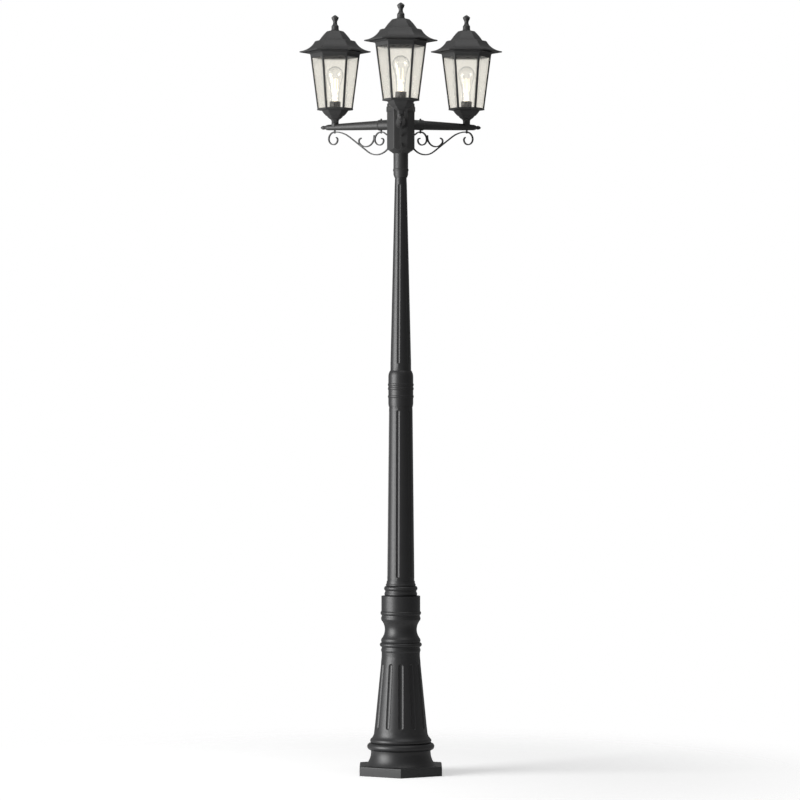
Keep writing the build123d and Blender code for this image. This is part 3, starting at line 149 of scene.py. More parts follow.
# The floor is pale matt board, which melts into the backdrop towards its edge.
board_lift = 0.42
melt_from, melt_to = 0.5, 1.6
board = bpy.data.materials.new("pale_board")
board.use_nodes = True
tree = board.node_tree
tree.nodes.clear()
place = add_node(tree, "ShaderNodeTexCoord", {}, "Object")
from_post = add_node(tree, "ShaderNodeVectorMath", {0: place}, "Value", operation="LENGTH")
melt = ranged(tree, from_post, 0, 1, melt_from, melt_to, interpolation_type="SMOOTHSTEP")
matt = add_node(tree, "ShaderNodeBsdfDiffuse", {"Color": linear("#e9e9e9")})
to_camera = add_node(tree, "ShaderNodeLightPath", {}, "Is Camera Ray")
lift = calculate(tree, "MULTIPLY", to_camera, board_lift)
glow = add_node(tree, "ShaderNodeEmission", {"Color": (1, 1, 1, 1), "Strength": lift})
lit = add_node(tree, "ShaderNodeAddShader", {0: matt, 1: glow})
clear = add_node(tree, "ShaderNodeBsdfTransparent", {})
mixed = add_node(tree, "ShaderNodeMixShader", {0: melt, 1: lit, 2: clear})
add_node(tree, "ShaderNodeOutputMaterial", {"Surface": mixed})
floor_data.materials.append(board)

# ------------------------------------------------------------------ base casting
# Sand-cast aluminium: a hexagonal foot, a hollow scotia, a torus and a fluted cone in one piece.
# It is powder coated in satin anthracite, so its edges are soft and a broad gloss runs down it.

flat_ratio = cos(radians(30))  # middle of a hexagon's side over its corner radius
foot_flat = 0.123
foot_height = 0.028
foot_edge = 0.0025
foot_rim = 0.009
foot_roof = 0.008
anchor_angles = (-30, 90, 210)
anchor_circle = 0.12
anchor_hole = 0.0055
anchor_boss = 0.012
base_wall = 0.006
scotia_foot = (0.104, foot_height)
scotia_top = (0.0895, 0.066)
torus_foot = (0.09, 0.072)
torus = (0.021, 0.0108)  # height, and how far it stands out
base_bead_foot = (0.088, 0.093)
base_bead = (0.014, 0.0038)
cone_foot = (0.08, 0.124)
cone_top = (0.0575, 0.352)
cone_flutes = 12
cone_flute_size = (0.015, 0.0032)  # width and depth
cone_flute_low = 0.013  # plain cone below the flutes
cone_flute_high = 0.019
cone_land = 6  # columns across half the plain land between two flutes
smooth_below = 40  # degrees between faces, on every piece
same_level = 1e-5


def arc(start, end, bulge=0.0, leaving=None, arriving=None, steps=6):
    """Points on an arc, without its start. It bulges to the right of the way from start to end,
    or takes the bulge that makes it leave or arrive along a direction."""
    across = Vector(end) - Vector(start)
    along = across.normalized()
    for heading, sign in ((leaving, 1), (arriving, -1)):
        if heading:
            way = Vector(heading).normalized()
            turn = sign * atan2(way.x * along.y - way.y * along.x, way.dot(along))
            bulge = across.length / 2 * tan(turn / 2)
    if abs(bulge) < 1e-7:
        return [tuple(end)]
    right = Vector((along.y, -along.x))
    half = across.length / 2
    radius = (half**2 + bulge**2) / (2 * bulge)
    centre = Vector(start) + across / 2 + right * (bulge - radius)
    sweep = 2 * atan2(bulge, half) * 2
    spoke = Vector(start) - centre
    turns = [Matrix.Rotation(sweep * step / steps, 2) for step in range(1, steps + 1)]
    return [tuple(centre + turn @ spoke) for turn in turns]


def bead(foot, height, proud, steps=8):
    """Half-round moulding straight up from its foot on a turned outline, foot included."""
    return [foot, *arc(foot, (foot[0], foot[1] + height), proud, steps=steps)]


def spun(outline, steps, closed=True):
    """An outline of (radius, height) points spun round Z."""
    mesh = bmesh.new()
    points = [mesh.verts.new((x, 0, z)) for x, z in outline]
    edges = [mesh.edges.new(pair) for pair in zip(points, points[1:])]
    if closed:
        edges.append(mesh.edges.new((points[-1], points[0])))
    bmesh.ops.spin(
        mesh,
        geom=points + edges,
        axis=(0, 0, 1),
        angle=2 * pi,
        steps=steps,
        use_merge=True,
    )
    bmesh.ops.remove_doubles(mesh, verts=mesh.verts, dist=1e-6)
    bmesh.ops.recalc_face_normals(mesh, faces=mesh.faces)
    return mesh


def hexagonal(outline, closed=True):
    """An outline of (reach of a side, height) points as a six-sided body."""
    return spun([(reach / flat_ratio, height) for reach, height in outline], 6, closed)


def cover(mesh, level):
    """Close the surface between all the open edges that lie at a height."""
    rims = [
        edge
        for edge in mesh.edges
        if edge.is_boundary and all(abs(vert.co.z - level) < same_level for vert in edge.verts)
    ]
    bmesh.ops.triangle_fill(mesh, use_beauty=True, edges=rims)
    bmesh.ops.recalc_face_normals(mesh, faces=mesh.faces)


def soften(mesh, width, sharper_than=30, segments=2):
    """Bevel the edges whose faces meet at more than an angle."""
    edges = [
        edge
        for edge in mesh.edges
        if len(edge.link_faces) == 2 and edge.calc_face_angle() > radians(sharper_than)
    ]
    bmesh.ops.bevel(
        mesh,
        geom=edges,
        offset=width,
        offset_type="OFFSET",
        segments=segments,
        profile=0.5,
        affect="EDGES",
        clamp_overlap=True,
        material=-1,
    )


def join(mesh, other):
    """Move the faces of other into mesh."""
    carrier = bpy.data.meshes.new("carrier")
    other.to_mesh(carrier)
    other.free()
    mesh.from_mesh(carrier)
    bpy.data.meshes.remove(carrier)


def move_out(mesh, turn, reach, level=0.0):
    """Move a piece out from the axis, in a direction in degrees from +X, and lift it."""
    place = Matrix.Rotation(radians(turn), 3, "Z") @ Vector((reach, 0, level))
    bmesh.ops.translate(mesh, verts=mesh.verts, vec=place)
    return mesh


def finished(mesh, name, node, slot, material, body="post"):
    """Make the piece's object, smooth apart from its sharp edges, and seat it in the frame."""
    data = bpy.data.meshes.new(name)
    mesh.to_mesh(data)
    mesh.free()
    data.polygons.foreach_set("use_smooth", [True] * len(data.polygons))
    data.set_sharp_from_angle(angle=radians(smooth_below))
    data.materials.append(material)
    piece = bpy.data.objects.new(name, data)
    scene.collection.objects.link(piece)
    even = piece.modifiers.new("even_shading", "WEIGHTED_NORMAL")
    even.keep_sharp = True
    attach(piece, body)
    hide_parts(node)


flute_columns = (0, 0.3, 0.56, 0.76, 0.9, 1)  # lines along half a flute, out from its middle
flute_margin = 0.0007  # from a flute's edge to the first line on the land
blunt_end = 0.1  # width that is left at the tip of a flute's round end


def flute_rows(low, high, width):
    """Points along a flute from end to end, closer together in its round ends."""
    low, high = Vector(low), Vector(high)
    along = (high - low).normalized()
    half = width / 2
    ends = [half * (1 - cos(radians(angle))) for angle in (0, 12, 30, 48, 66, 90)]
    rows = [low + along * end for end in ends]
    rows += [low + (high - low) * share for share in (0.3, 0.5, 0.7)]
    rows += [high - along * end for end in reversed(ends)]
    return [tuple(row) for row in rows]


def fluted(outline, low, high, count, first, size, land_columns, closed=True):
    """Spin an outline and press flutes into its taper between two of its points. The columns of
    faces follow the flutes' edges."""
    half_columns = len(flute_columns) - 1 + land_columns
    mesh = spun(outline, count * 2 * half_columns, closed)
    half, depth = size[0] / 2, size[1]
    cutter = (half**2 + depth**2) / (2 * depth)
    sector = 2 * pi / count
    taper = (high[0] - low[0]) / (high[1] - low[1])
    for vert in mesh.verts:
        x, y, z = vert.co
        radius = hypot(x, y)
        off_taper = abs(radius - low[0] - taper * (z - low[1]))
        if not low[1] - same_level <= z <= high[1] + same_level or off_taper > 2e-4:
            continue
        angle = atan2(y, x) - first
        number = round(angle / sector)
        place = round((angle - number * sector) * 2 * half_columns / sector)
        past_end = max(low[1] + half - z, z - high[1] + half, 0)
        half_here = sqrt(max(half**2 - past_end**2, (blunt_end * half) ** 2))
        on_land = abs(place) - len(flute_columns)
        if on_land < 0:
            aside = half_here * flute_columns[abs(place)]
        else:
            land = radius * sector / 2 - half_here - flute_margin
            aside = half_here + flute_margin + land * on_land / (land_columns - 1)
        inside = cutter**2 - aside**2 - past_end**2
        sunk = max(sqrt(inside) - cutter + depth, 0) if inside > 0 else 0
        turned_to = first + number * sector + (1 if place > 0 else -1) * aside / radius
        vert.co = ((radius - sunk) * cos(turned_to), (radius - sunk) * sin(turned_to), z)
    return mesh


cone_slope = (cone_top[0] - cone_foot[0]) / (cone_top[1] - cone_foot[1])
flute_low = (cone_foot[0] + cone_slope * cone_flute_low, cone_foot[1] + cone_flute_low)
flute_high = (cone_top[0] - cone_slope * cone_flute_high, cone_top[1] - cone_flute_high)
above_bead = (base_bead_foot[0], base_bead_foot[1] + base_bead[0])
cone_way = (cone_top[0] - cone_foot[0], cone_top[1] - cone_foot[1])
base_outline = [
    scotia_foot,
    *arc(scotia_foot, scotia_top, arriving=(0, 1), steps=10),
    *bead(torus_foot, *torus, steps=16),
    *bead(base_bead_foot, *base_bead),
    *arc(above_bead, cone_foot, arriving=cone_way, steps=8),
    *flute_rows(flute_low, flute_high, cone_flute_size[0]),
    cone_top,
    (cone_top[0] - base_wall, cone_top[1]),
    (cone_foot[0] - base_wall, cone_foot[1]),
    (scotia_top[0] - base_wall, torus_foot[1]),
    (scotia_top[0] - base_wall, foot_height - foot_roof),
]
cone_cut = (flute_low, flute_high, cone_flutes, radians(-90), cone_flute_size, cone_land)
base = fluted(base_outline, *cone_cut, closed=False)

foot_side = (foot_flat, foot_height - foot_edge)
foot = hexagonal(
    [
        (foot_flat - foot_rim, foot_height - foot_roof),
        (foot_flat - foot_rim, 0),
        (foot_flat, 0),
        foot_side,
        *arc(foot_side, (foot_flat - foot_edge, foot_height), leaving=(0, 1), steps=4),
    ],
    closed=False,
)
bmesh.ops.rotate(foot, verts=foot.verts, matrix=Matrix.Rotation(radians(30), 3, "Z"))
join(base, foot)
for anchor_angle in anchor_angles:
    boss = spun(
        [
            (anchor_hole, foot_height),
            (anchor_hole, 0),
            (anchor_boss, 0),
            (anchor_boss, foot_height - foot_roof),
        ],
        40,
        closed=False,
    )
    join(base, move_out(boss, anchor_angle, anchor_circle))
cover(base, foot_height)
cover(base, foot_height - foot_roof)

# The coat is polyester powder, sprayed and baked: near black with a satin gloss, and a faint
# orange peel about four millimetres across that breaks the edge of a highlight.


def new_material(name):
    """Material with its node tree and shader."""
    material = bpy.data.materials.new(name)
    material.use_nodes = True
    tree = material.node_tree
    return material, tree, tree.nodes["Principled BSDF"]


def noise(tree, grain, detail, stretch=(1, 1, 1), **inputs):
    """Noise through the whole object, with a grain of a real size in metres."""
    place = add_node(tree, "ShaderNodeTexCoord", {}, "Object")
    if stretch != (1, 1, 1):
        place = add_node(tree, "ShaderNodeMapping", {"Vector": place, "Scale": stretch})
    inputs.update(Vector=place, Scale=1 / grain, Detail=detail)
    return add_node(tree, "ShaderNodeTexNoise", inputs, "Fac")


def tone(tree, share, colours):
    """Mix of two sRGB hex colours."""
    first, second = (linear(colour) for colour in colours)
    return add_node(tree, "ShaderNodeMixRGB", {"Fac": share, "Color1": first, "Color2": second})


def relief(tree, height, depth):
    """Normal of a surface that rises by up to a depth in metres."""
    return add_node(tree, "ShaderNodeBump", {"Height": height, "Distance": depth})


coat_patch = 0.06  # size of the faint patches of tone


def powder_coat(name, colours, roughness, grain, depth, mottle):
    """Baked powder coat with a grain and a depth of relief in metres."""
    material, tree, shader = new_material(name)
    skin = noise(tree, grain, 3, Roughness=0.6)
    inputs = {"Base Color": tone(tree, noise(tree, coat_patch, 2), colours)}
    inputs["Roughness"] = ranged(tree, skin, roughness - mottle, roughness + mottle, 0.35, 0.65)
    inputs["Normal"] = relief(tree, skin, depth)
    wire(tree, shader, inputs)
    return material


satin_powder_coat = powder_coat(
    "satin_powder_coat", ("#232324", "#272728"), 0.42, 0.004, 0.00006, 0.03
)
satin = ("powder_coat_smooth", satin_powder_coat)
finished(base, "fluted_base", "base_casting", *satin)

# ------------------------------------------------------------------ rod, bar and terminals
# Hidden inside: a zinc-plated threaded rod pulls the castings together against a flat bar in
# the foot, and a moulded block on that bar joins the supply to the three lamp wires.


def rework(node_names, material):
    """Give CAD nodes a finish."""
    for name in node_names:
        data = nodes[name].data
        data.materials.clear()
        data.materials.append(material)


def metal(name, colours, grain, detail, roughness, metallic=1):
    """Plated metal whose colour varies in patches. Two values of roughness vary with it."""
    material, tree, shader = new_material(name)
    bloom = noise(tree, grain, detail)
    if isinstance(roughness, tuple):
        roughness = ranged(tree, bloom, *roughness)
    colour = tone(tree, bloom, colours)
    wire(tree, shader, {"Base Color": colour, "Metallic": metallic, "Roughness": roughness})
    return material


# Zinc plate is a pale bluish metal, dulled by its passivation in patches about 8 mm across. The
# small black-zinc screws are dark, with a dull metal gloss.
zinc_plate = metal("zinc_plate", ("#b9bdc0", "#9da0a1"), 0.008, 3, (0.28, 0.5))
zinc_pieces = ("tie_rod", "tie_rod_nuts", "crossbar", "arm_lock_nuts", "lantern_nipples")
rework([*zinc_pieces, "nipple_nuts"], zinc_plate)
black_zinc = metal("black_zinc", ("#232425", "#343536"), 0.002, 2, 0.42, 0.9)
rework(["roof_screws"], black_zinc)


def moulded(name, colours, roughness, grain, depth, detail=2, stretch=(1, 1, 1), **inputs):
    """Plastic, rubber or glass with one colour, a sheen and a relief of a real grain."""
    material, tree, shader = new_material(name)
    skin = noise(tree, grain, detail, stretch)
    inputs.update(Roughness=roughness, Normal=relief(tree, skin, depth))
    wire(tree, shader, {"Base Color": tone(tree, skin, colours), **inputs})
    return material


nylon = moulded("natural_nylon", ("#dcd8cb", "#d2cdbf"), 0.5, 0.002, 0.00003)
rework(["terminal_block"], nylon)
rubber = moulded("rubber_sheath", ("#1b1b1b", "#222222"), 0.65, 0.003, 0.00004)
rework([f"{arm}_lamp_wire" for arm in arm_angles], rubber)

# ------------------------------------------------------------------ pedestal casting
# Turned-looking cast column foot: belts and astragals, a drawn-in waist, a plain drum and a
# ringed socket that the lower shaft stands in. It drops on a spigot into the base.

astragal = (0.012, 0.0018)
belt = (0.013, 0.0056)
belt_gap = 0.004
drum_belt = (0.0125, 0.0034)
neck_step = (0.012, 0.0022)
neck_belt = (0.013, 0.0032)
lip_ring = (0.008, 0.0018)
plain_height = 0.013
waist_radius = 0.048
waist_height = 0.054
drum_radius = 0.0582
drum_height = 0.045
neck_radius = 0.047
lip_radius = 0.043
mouth_radius = 0.042
mouth_height = 0.008
pedestal_bore = 0.041
spigot_radius = 0.0513
spigot_drop = 0.014

seat_radius, base_top = cone_top
pedestal = [(spigot_radius, base_top - spigot_drop), (spigot_radius, base_top)]
pedestal.append((seat_radius, base_top))


def climb(outline, height):
    """Go straight up from the outline's last point."""
    outline.append((outline[-1][0], outline[-1][1] + height))


def climb_bead(outline, height, proud, steps=8):
    outline.extend(bead(outline[-1], height, proud, steps)[1:])


climb(pedestal, plain_height)
climb_bead(pedestal, *astragal)
climb(pedestal, belt_gap)
climb_bead(pedestal, *belt)
climb_bead(pedestal, *astragal)
waist_low = pedestal[-1]
waist_top = (seat_radius, waist_low[1] + waist_height)
pedestal += arc(waist_low, waist_top, waist_radius - seat_radius, steps=16)
climb_bead(pedestal, *astragal)
climb(pedestal, belt_gap)
climb_bead(pedestal, *drum_belt)
pedestal.append((drum_radius, pedestal[-1][1]))
climb(pedestal, drum_height)
pedestal.append((neck_radius, pedestal[-1][1]))
climb_bead(pedestal, *neck_step)
climb(pedestal, belt_gap)
climb_bead(pedestal, *neck_belt)
pedestal.append((lip_radius, pedestal[-1][1]))
climb_bead(pedestal, *lip_ring)
pedestal.append((mouth_radius, pedestal[-1][1] + mouth_height))
pedestal_top = pedestal[-1][1]
pedestal += [(pedestal_bore, pedestal_top), (pedestal_bore, base_top - spigot_drop)]
finished(spun(pedestal, 128), "turned_pedestal", "pedestal_casting", *satin)

# ------------------------------------------------------------------ lower shaft
# Extruded tube drawn to a slight taper, with six round-ended flutes pressed along it. Its foot
# stands in the pedestal's socket.

shaft_flutes = 6
shaft_land = 8
first_flute = radians(-90 - 13.7)
shaft_low = (0.0408, pedestal_top)
shaft_high = (0.0353, pedestal_top + 0.5225)
shaft_wall = 0.0042
shaft_sunk = 0.038
lower_flute_size = (0.011, 0.0024)
lower_flute_margin = 0.01
hairline = 0.0004  # a tube's plain ends stand this far inside its flutes' surface


def on_taper(low, high, height):
    """Radius and height of a point on a tapered tube."""
    share = (height - low[1]) / (high[1] - low[1])
    return (low[0] + (high[0] - low[0]) * share, height)


def fluted_shaft(low, high, wall, sunk_low, sunk_high, size, margin):
    """Tapered tube with flutes, whose ends go on into the pieces that hold it."""
    flute_foot = on_taper(low, high, low[1] + margin)
    flute_head = on_taper(low, high, high[1] - margin)
    rows = flute_rows(flute_foot, flute_head, size[0])
    outline = [
        (low[0] - hairline, low[1] - sunk_low),
        (low[0] - hairline, low[1]),
        *rows,
        (high[0] - hairline, high[1]),
        (high[0] - hairline, high[1] + sunk_high),
        (high[0] - wall, high[1] + sunk_high),
        (low[0] - wall, low[1] - sunk_low),
    ]
    return fluted(outline, flute_foot, flute_head, shaft_flutes, first_flute, size, shaft_land)


lower_tube = fluted_shaft(
    shaft_low, shaft_high, shaft_wall, shaft_sunk, 0, lower_flute_size, lower_flute_margin
)
finished(lower_tube, "fluted_lower_shaft", "lower_shaft", *satin)

# ------------------------------------------------------------------ joint collar
# Cast collar with three rings between the two shafts. A round shoulder takes it in to the
# thinner one.

collar_height = 0.108
collar_radius = 0.0374
collar_foot = (0.0361, shaft_high[1])
collar_chamfer = 0.009
collar_ring = (0.009, 0.0015)
ring_places = (0.28, 0.5, 0.61)
cove_height = 0.018
collar_mouth = 0.0323
collar_bore = 0.0287

collar_low = collar_foot[1]
collar_top = collar_low + collar_height
collar = [collar_foot, (collar_radius, collar_low + collar_chamfer)]
for ring_place in ring_places:
    ring_foot = collar_low + collar_height * ring_place - collar_ring[0] / 2
    collar += bead((collar_radius, ring_foot), *collar_ring)
collar.append((collar_radius, collar_top - cove_height))
collar += arc(collar[-1], (collar_mouth, collar_top), leaving=(0, 1), steps=8)
collar += [(collar_bore, collar_top), (collar_bore, collar_low)]
finished(spun(collar, 96), "ringed_collar", "joint_collar", *satin)

# ------------------------------------------------------------------ upper shaft
# Thinner tube with a stronger taper and six shallow flutes in line with those below. It stands
# in the collar, and its head goes into the socket under the hub.

upper_low = (0.0315, collar_top)
upper_high = (0.0178, collar_top + 0.579)
upper_wall = 0.0042
upper_sunk_low = 0.02
upper_sunk_high = 0.04
upper_flute_size = (0.0085, 0.0013)
upper_flute_margin = 0.02
upper_sunk = (upper_sunk_low, upper_sunk_high)
upper_tube = fluted_shaft(
    upper_low, upper_high, upper_wall, *upper_sunk, upper_flute_size, upper_flute_margin
)
finished(upper_tube, "fluted_upper_shaft", "upper_shaft", *satin)

# ------------------------------------------------------------------ head socket
# Short cast socket with one ring and a coned mouth, between the upper shaft and the hub. The
# rough coat of the head, arms and lanterns starts here.

socket_low, socket_high = (corner.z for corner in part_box("head_socket"))
socket_radius = 0.0221
socket_mouth = 0.0188
socket_bore = 0.0154
socket_cone = 0.009
socket_ring = (0.009, 0.0014)
socket_ring_level = 0.018
socket_outline = [
    (socket_mouth, socket_low),
    (socket_radius, socket_low + socket_cone),
    *bead((socket_radius, socket_low + socket_ring_level), *socket_ring),
    (socket_radius, socket_high),
    (socket_bore, socket_high),
    (socket_bore, socket_low),
]

# The head, arms and lanterns have a sand-textured powder coat. Its grains are a few tenths of a
# millimetre, drawn here at two, so that they still show from where the camera stands.
sand_powder_coat = powder_coat(
    "sand_powder_coat", ("#2f2f2f", "#373737"), 0.5, 0.002, 0.00028, 0.06
)
sand = ("powder_coat_textured", sand_powder_coat)
finished(spun(socket_outline, 80), "ringed_socket", "head_socket", *sand)

# ------------------------------------------------------------------ hub and its cap
# Hollow hexagonal casting with an arm screwed into every second side. Its foot is trimmed to a
# cone, a band runs round its head, and a low hexagonal cap is pushed into it.

hub_low, hub_high = (corner.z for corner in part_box("hub"))
hub_corner = 0.0417
hub_flat = hub_corner * flat_ratio
hub_cone = 0.014
hub_band = 0.016
band_low = hub_high - hub_band
hub_band_flat = hub_flat + 0.0017
hub_wall = 0.005
cap_edge = 0.009
cap_height = 0.018
cap_top_flat = 0.0217
cap_skirt = 0.008
edge_round = 0.0012

# Three rings of points, joined by walls: the round foot, and two that follow the hexagon.
hub_segments = 48
hub = bmesh.new()
for radius in (socket_radius, hub_corner, hub_corner):
    bmesh.ops.create_circle(hub, cap_ends=False, radius=radius, segments=hub_segments)
hub.verts.ensure_lookup_table()
bmesh.ops.translate(hub, verts=hub.verts[:hub_segments], vec=(0, 0, hub_low))
for index, vert in enumerate(hub.verts[hub_segments:]):
    angle = atan2(vert.co.y, vert.co.x)
    off_flat = angle % (pi / 3) - pi / 6
    reach = hub_flat / cos(off_flat)
    share = (reach - socket_radius) / (hub_corner - socket_radius)
    level = hub_low + hub_cone * share if index < hub_segments else band_low
    vert.co = (reach * cos(angle), reach * sin(angle), level)
loops = [
    [edge for edge in hub.edges if {v.index // hub_segments for v in edge.verts} == {number}]
    for number in range(3)
]
bmesh.ops.bridge_loops(hub, edges=loops[0] + loops[1])
bmesh.ops.bridge_loops(hub, edges=loops[1] + loops[2])
bmesh.ops.recalc_face_normals(hub, faces=hub.faces)
soften(hub, edge_round, sharper_than=24, segments=3)
band = hexagonal(
    [
        (hub_band_flat, band_low),
        (hub_band_flat, hub_high),
        (hub_flat - hub_wall, hub_high),
        (hub_flat - hub_wall, band_low),
    ]
)
soften(band, edge_round, segments=3)
join(hub, band)
finished(hub, "hub_casting", "hub", *sand)

cap = hexagonal(
    [
        (0, hub_high - cap_skirt),
        (hub_flat - hub_wall, hub_high - cap_skirt),
        (hub_flat - hub_wall, hub_high),
        (hub_flat, hub_high),
        (hub_flat, hub_high + cap_edge),
        (cap_top_flat, hub_high + cap_height),
        (0, hub_high + cap_height),
    ],
    closed=False,
)
soften(cap, edge_round, sharper_than=20, segments=3)
finished(cap, "hub_lid", "hub_cap", *sand)

# ------------------------------------------------------------------ arms
# Each arm is a tapered tube screwed into the hub, in a sleeve with a ringed mouth, and its end
# is plugged by a nose with a small pointed ball. A pad on top carries the lantern.

arm_axis = hub_low + 0.088
arm_reach = 0.23
arm_root = 0.013
arm_inside = 0.01  # from the hub's face to the arm's end inside it
arm_lead = 0.004
arm_shoulder = 0.077
arm_start = 0.014
arm_middle = 0.0118
arm_end = 0.0086
arm_length = 0.252
arm_bore = 0.006
sleeve_radius = 0.0153
sleeve_start = hub_flat - 0.002
sleeve_end = 0.07
mouth_ring = (0.007, 0.001)
pad_radius = 0.011
pad_height = 0.012
nose_length = 0.013
nose_plug = 0.005
neck_small = 0.0046
ball_radius = 0.0058
ball_length = 0.014
tip_length = 0.003
boss_radius = 0.0028
boss_round = 0.0008
nub_top = 0.0195
outer_bar_top = 0.0127
inner_bar_top = 0.0187
outer_screw_reach = 0.231
inner_screw_reach = 0.068


def along_arm(outline, steps, closed=True):
    """An outline of (radius, distance from the post's axis) points spun round the arm's axis."""
    mesh = spun(outline, steps, closed)
    bmesh.ops.rotate(mesh, verts=mesh.verts, matrix=Matrix.Rotation(radians(90), 3, "Y"))
    return mesh


def to_arm(mesh, arm):
    """Turn a piece modelled along +X out over its own arm, and lift it to the arm's axis."""
    place = Matrix.Translation((0, 0, arm_axis)) @ Matrix.Rotation(
        radians(arm_angles[arm]), 4, "Z"
    )
    bmesh.ops.transform(mesh, matrix=place, verts=mesh.verts)
    return mesh


def post(radius, low, high, aside, round_edge=0.0, segments=32):
    """Upright round boss between two heights, at a distance along +X."""
    made = bmesh.new()
    bmesh.ops.create_cone(
        made, cap_ends=True, segments=segments, radius1=radius, radius2=radius, depth=high - low
    )
    if round_edge:
        soften(made, round_edge, sharper_than=60)
    return move_out(made, 0, aside, (low + high) / 2)


for arm in arm_angles:
    tube = along_arm(
        [
            (arm_bore, hub_flat - arm_inside),
            (arm_root, hub_flat - arm_lead),
            (arm_root, arm_shoulder),
            (arm_start, arm_shoulder),
            *arc(
                (arm_start, arm_shoulder),
                (arm_end, arm_length),
                arm_middle - (arm_start + arm_end) / 2,
                steps=12,
            ),
            (arm_bore, arm_length),
        ],
        64,
    )
    join(tube, post(pad_radius, 0, pad_height, arm_reach, boss_round, 40))
    join(tube, post(boss_radius, -outer_bar_top, 0, outer_screw_reach))
    finished(to_arm(tube, arm), f"{arm}_arm_tube", f"{arm}_arm", *sand)

    sleeve = along_arm(
        [
            (sleeve_radius, sleeve_start),
            *bead((sleeve_radius, sleeve_end), *mouth_ring),
            (arm_root, arm_shoulder),
            (arm_root, sleeve_start),
        ],
        64,
    )
    join(sleeve, post(boss_radius, -inner_bar_top, -arm_root, inner_screw_reach))
    join(sleeve, post(boss_radius, arm_root, nub_top, inner_screw_reach, boss_round))
    finished(to_arm(sleeve, arm), f"{arm}_arm_sleeve", f"{arm}_arm_collar", *sand)

    nose_end = arm_length + nose_length
    ball_end = nose_end + ball_length
    nose = along_arm(
        [
            (0, arm_length - nose_plug),
            (arm_end, arm_length - 0.0002),
            *arc((arm_end, arm_length), (neck_small, nose_end), leaving=(0, 1), steps=8),
            *arc(
                (neck_small, nose_end),
                (neck_small / 2, ball_end),
                ball_radius - neck_small * 0.75,
                steps=10,
            ),
            (0, ball_end + tip_length),
        ],
        48,
        closed=False,
    )
    finished(to_arm(nose, arm), f"{arm}_arm_nose", f"{arm}_arm_finial", *sand)

# ------------------------------------------------------------------ scroll brackets
# Flat steel bar bent cold into scrolls, welded to each other and screwed up into the arm: a
# long S with a curl at its outer end, a second curl on a stem, and a C scroll between them.

bar_thickness = 0.0036
bar_width = 0.006
bar_edge = 0.0005
outer_curl_drop = 0.0145
outer_curl_radii = (0.021, 0.017, 0.014, 0.008)
outer_curl_turns = (90, 90, 90, 70)
upper_sweep = 0.088
lower_sweep = 0.053
lower_sweep_reach = 0.0473
lower_sweep_drop = 0.0354
inner_curl_drop = 0.0205
inner_curl_radii = (0.022, 0.017, 0.0135, 0.006)
inner_stem_slope = 35
inner_curl_turns = (90 + inner_stem_slope, 90, 90, 110)
c_scroll_radius = 0.0285
c_scroll_past_curl = 18.7
c_scroll_past_run = 19.0
c_hook_radius = 0.009
c_hook_turn = 125
weld_overlap = 0.0004
bend_step = 9  # degrees of bend to each facet


def way(angle):
    """Unit vector at an angle above the arm's direction, in radians, in its upright plane."""
    return Vector((cos(angle), sin(angle)))


class Bar:
    """Flat bar laid in the arm's upright plane, bent and drawn out from its first end."""

    def __init__(self, start, heading):
        self.mesh = bmesh.new()
        self.point = Vector(start)
        self.heading = radians(heading)
        side = way(self.heading + pi / 2) * bar_thickness / 2
        corners = []
        for hand, lean in ((-1, -1), (-1, 1), (1, 1), (1, -1)):
            at = self.point + side * lean
            corners.append(self.mesh.verts.new((at.x, hand * bar_width / 2, at.y)))
        self.end = [self.mesh.faces.new(corners)]

    def run(self, length):
        """Straight stretch."""
        drawn = bmesh.ops.extrude_face_region(self.mesh, geom=self.end)["geom"]
        moved = [part for part in drawn if isinstance(part, bmesh.types.BMVert)]
        step = way(self.heading) * length
        bmesh.ops.translate(self.mesh, verts=moved, vec=(step.x, 0, step.y))
        self.keep_end(drawn)
        self.point += step
        return self

    def bend(self, radius, turn):
        """Bend to the left for a positive turn, in degrees, and to the right for a negative."""
        to_side = radius if turn > 0 else -radius
        centre = self.point + way(self.heading + pi / 2) * to_side
        spun_part = bmesh.ops.spin(
            self.mesh,
            geom=self.end,
            cent=(centre.x, 0, centre.y),
            axis=(0, -1, 0),
            angle=radians(turn),
            steps=max(2, round(abs(turn) / bend_step)),
        )["geom_last"]
        self.keep_end(spun_part)
        self.heading += radians(turn)
        self.point = centre - way(self.heading + pi / 2) * to_side
        return self

    def keep_end(self, geometry):
        """Take the last face as the bar's end and drop the one it was drawn from."""
        old = [face for face in self.end if face.is_valid]
        self.end = [part for part in geometry if isinstance(part, bmesh.types.BMFace)]
        inside = [face for face in old if all(len(edge.link_faces) > 2 for edge in face.edges)]
        bmesh.ops.delete(self.mesh, geom=inside, context="FACES_ONLY")


# The long S hangs from the top of its outer curl: an upper sweep, a straight run that touches
# both sweeps, and a lower sweep that bends up again to the hub.
outer_top = Vector((outer_screw_reach, -outer_curl_drop))
upper_middle = outer_top - Vector((0, upper_sweep))
lower_middle = Vector((hub_flat + lower_sweep_reach, -lower_sweep_drop))
apart = upper_middle - lower_middle
sweep_angle = asin((upper_sweep + lower_sweep) / apart.length) + atan2(apart.y, apart.x)
run_way, run_normal = way(sweep_angle), way(sweep_angle + pi / 2)
run_high = upper_middle + run_normal * upper_sweep
run_low = lower_middle - run_normal * lower_sweep
hub_turn = degrees(asin(lower_sweep_reach / lower_sweep))
inner_middle = Vector((inner_screw_reach, -inner_curl_drop - inner_curl_radii[0]))
stem_angle = radians(inner_stem_slope)
stem_top = inner_middle + way(stem_angle + pi / 2) * inner_curl_radii[0]
stem_length = (stem_top.x - hub_flat) / cos(stem_angle)
bar_pitch = bar_thickness - weld_overlap
beside_run = run_low + run_normal * (c_scroll_radius + bar_pitch) - inner_middle
from_curl = inner_curl_radii[0] + c_scroll_radius + bar_pitch
along_run = beside_run.dot(run_way)
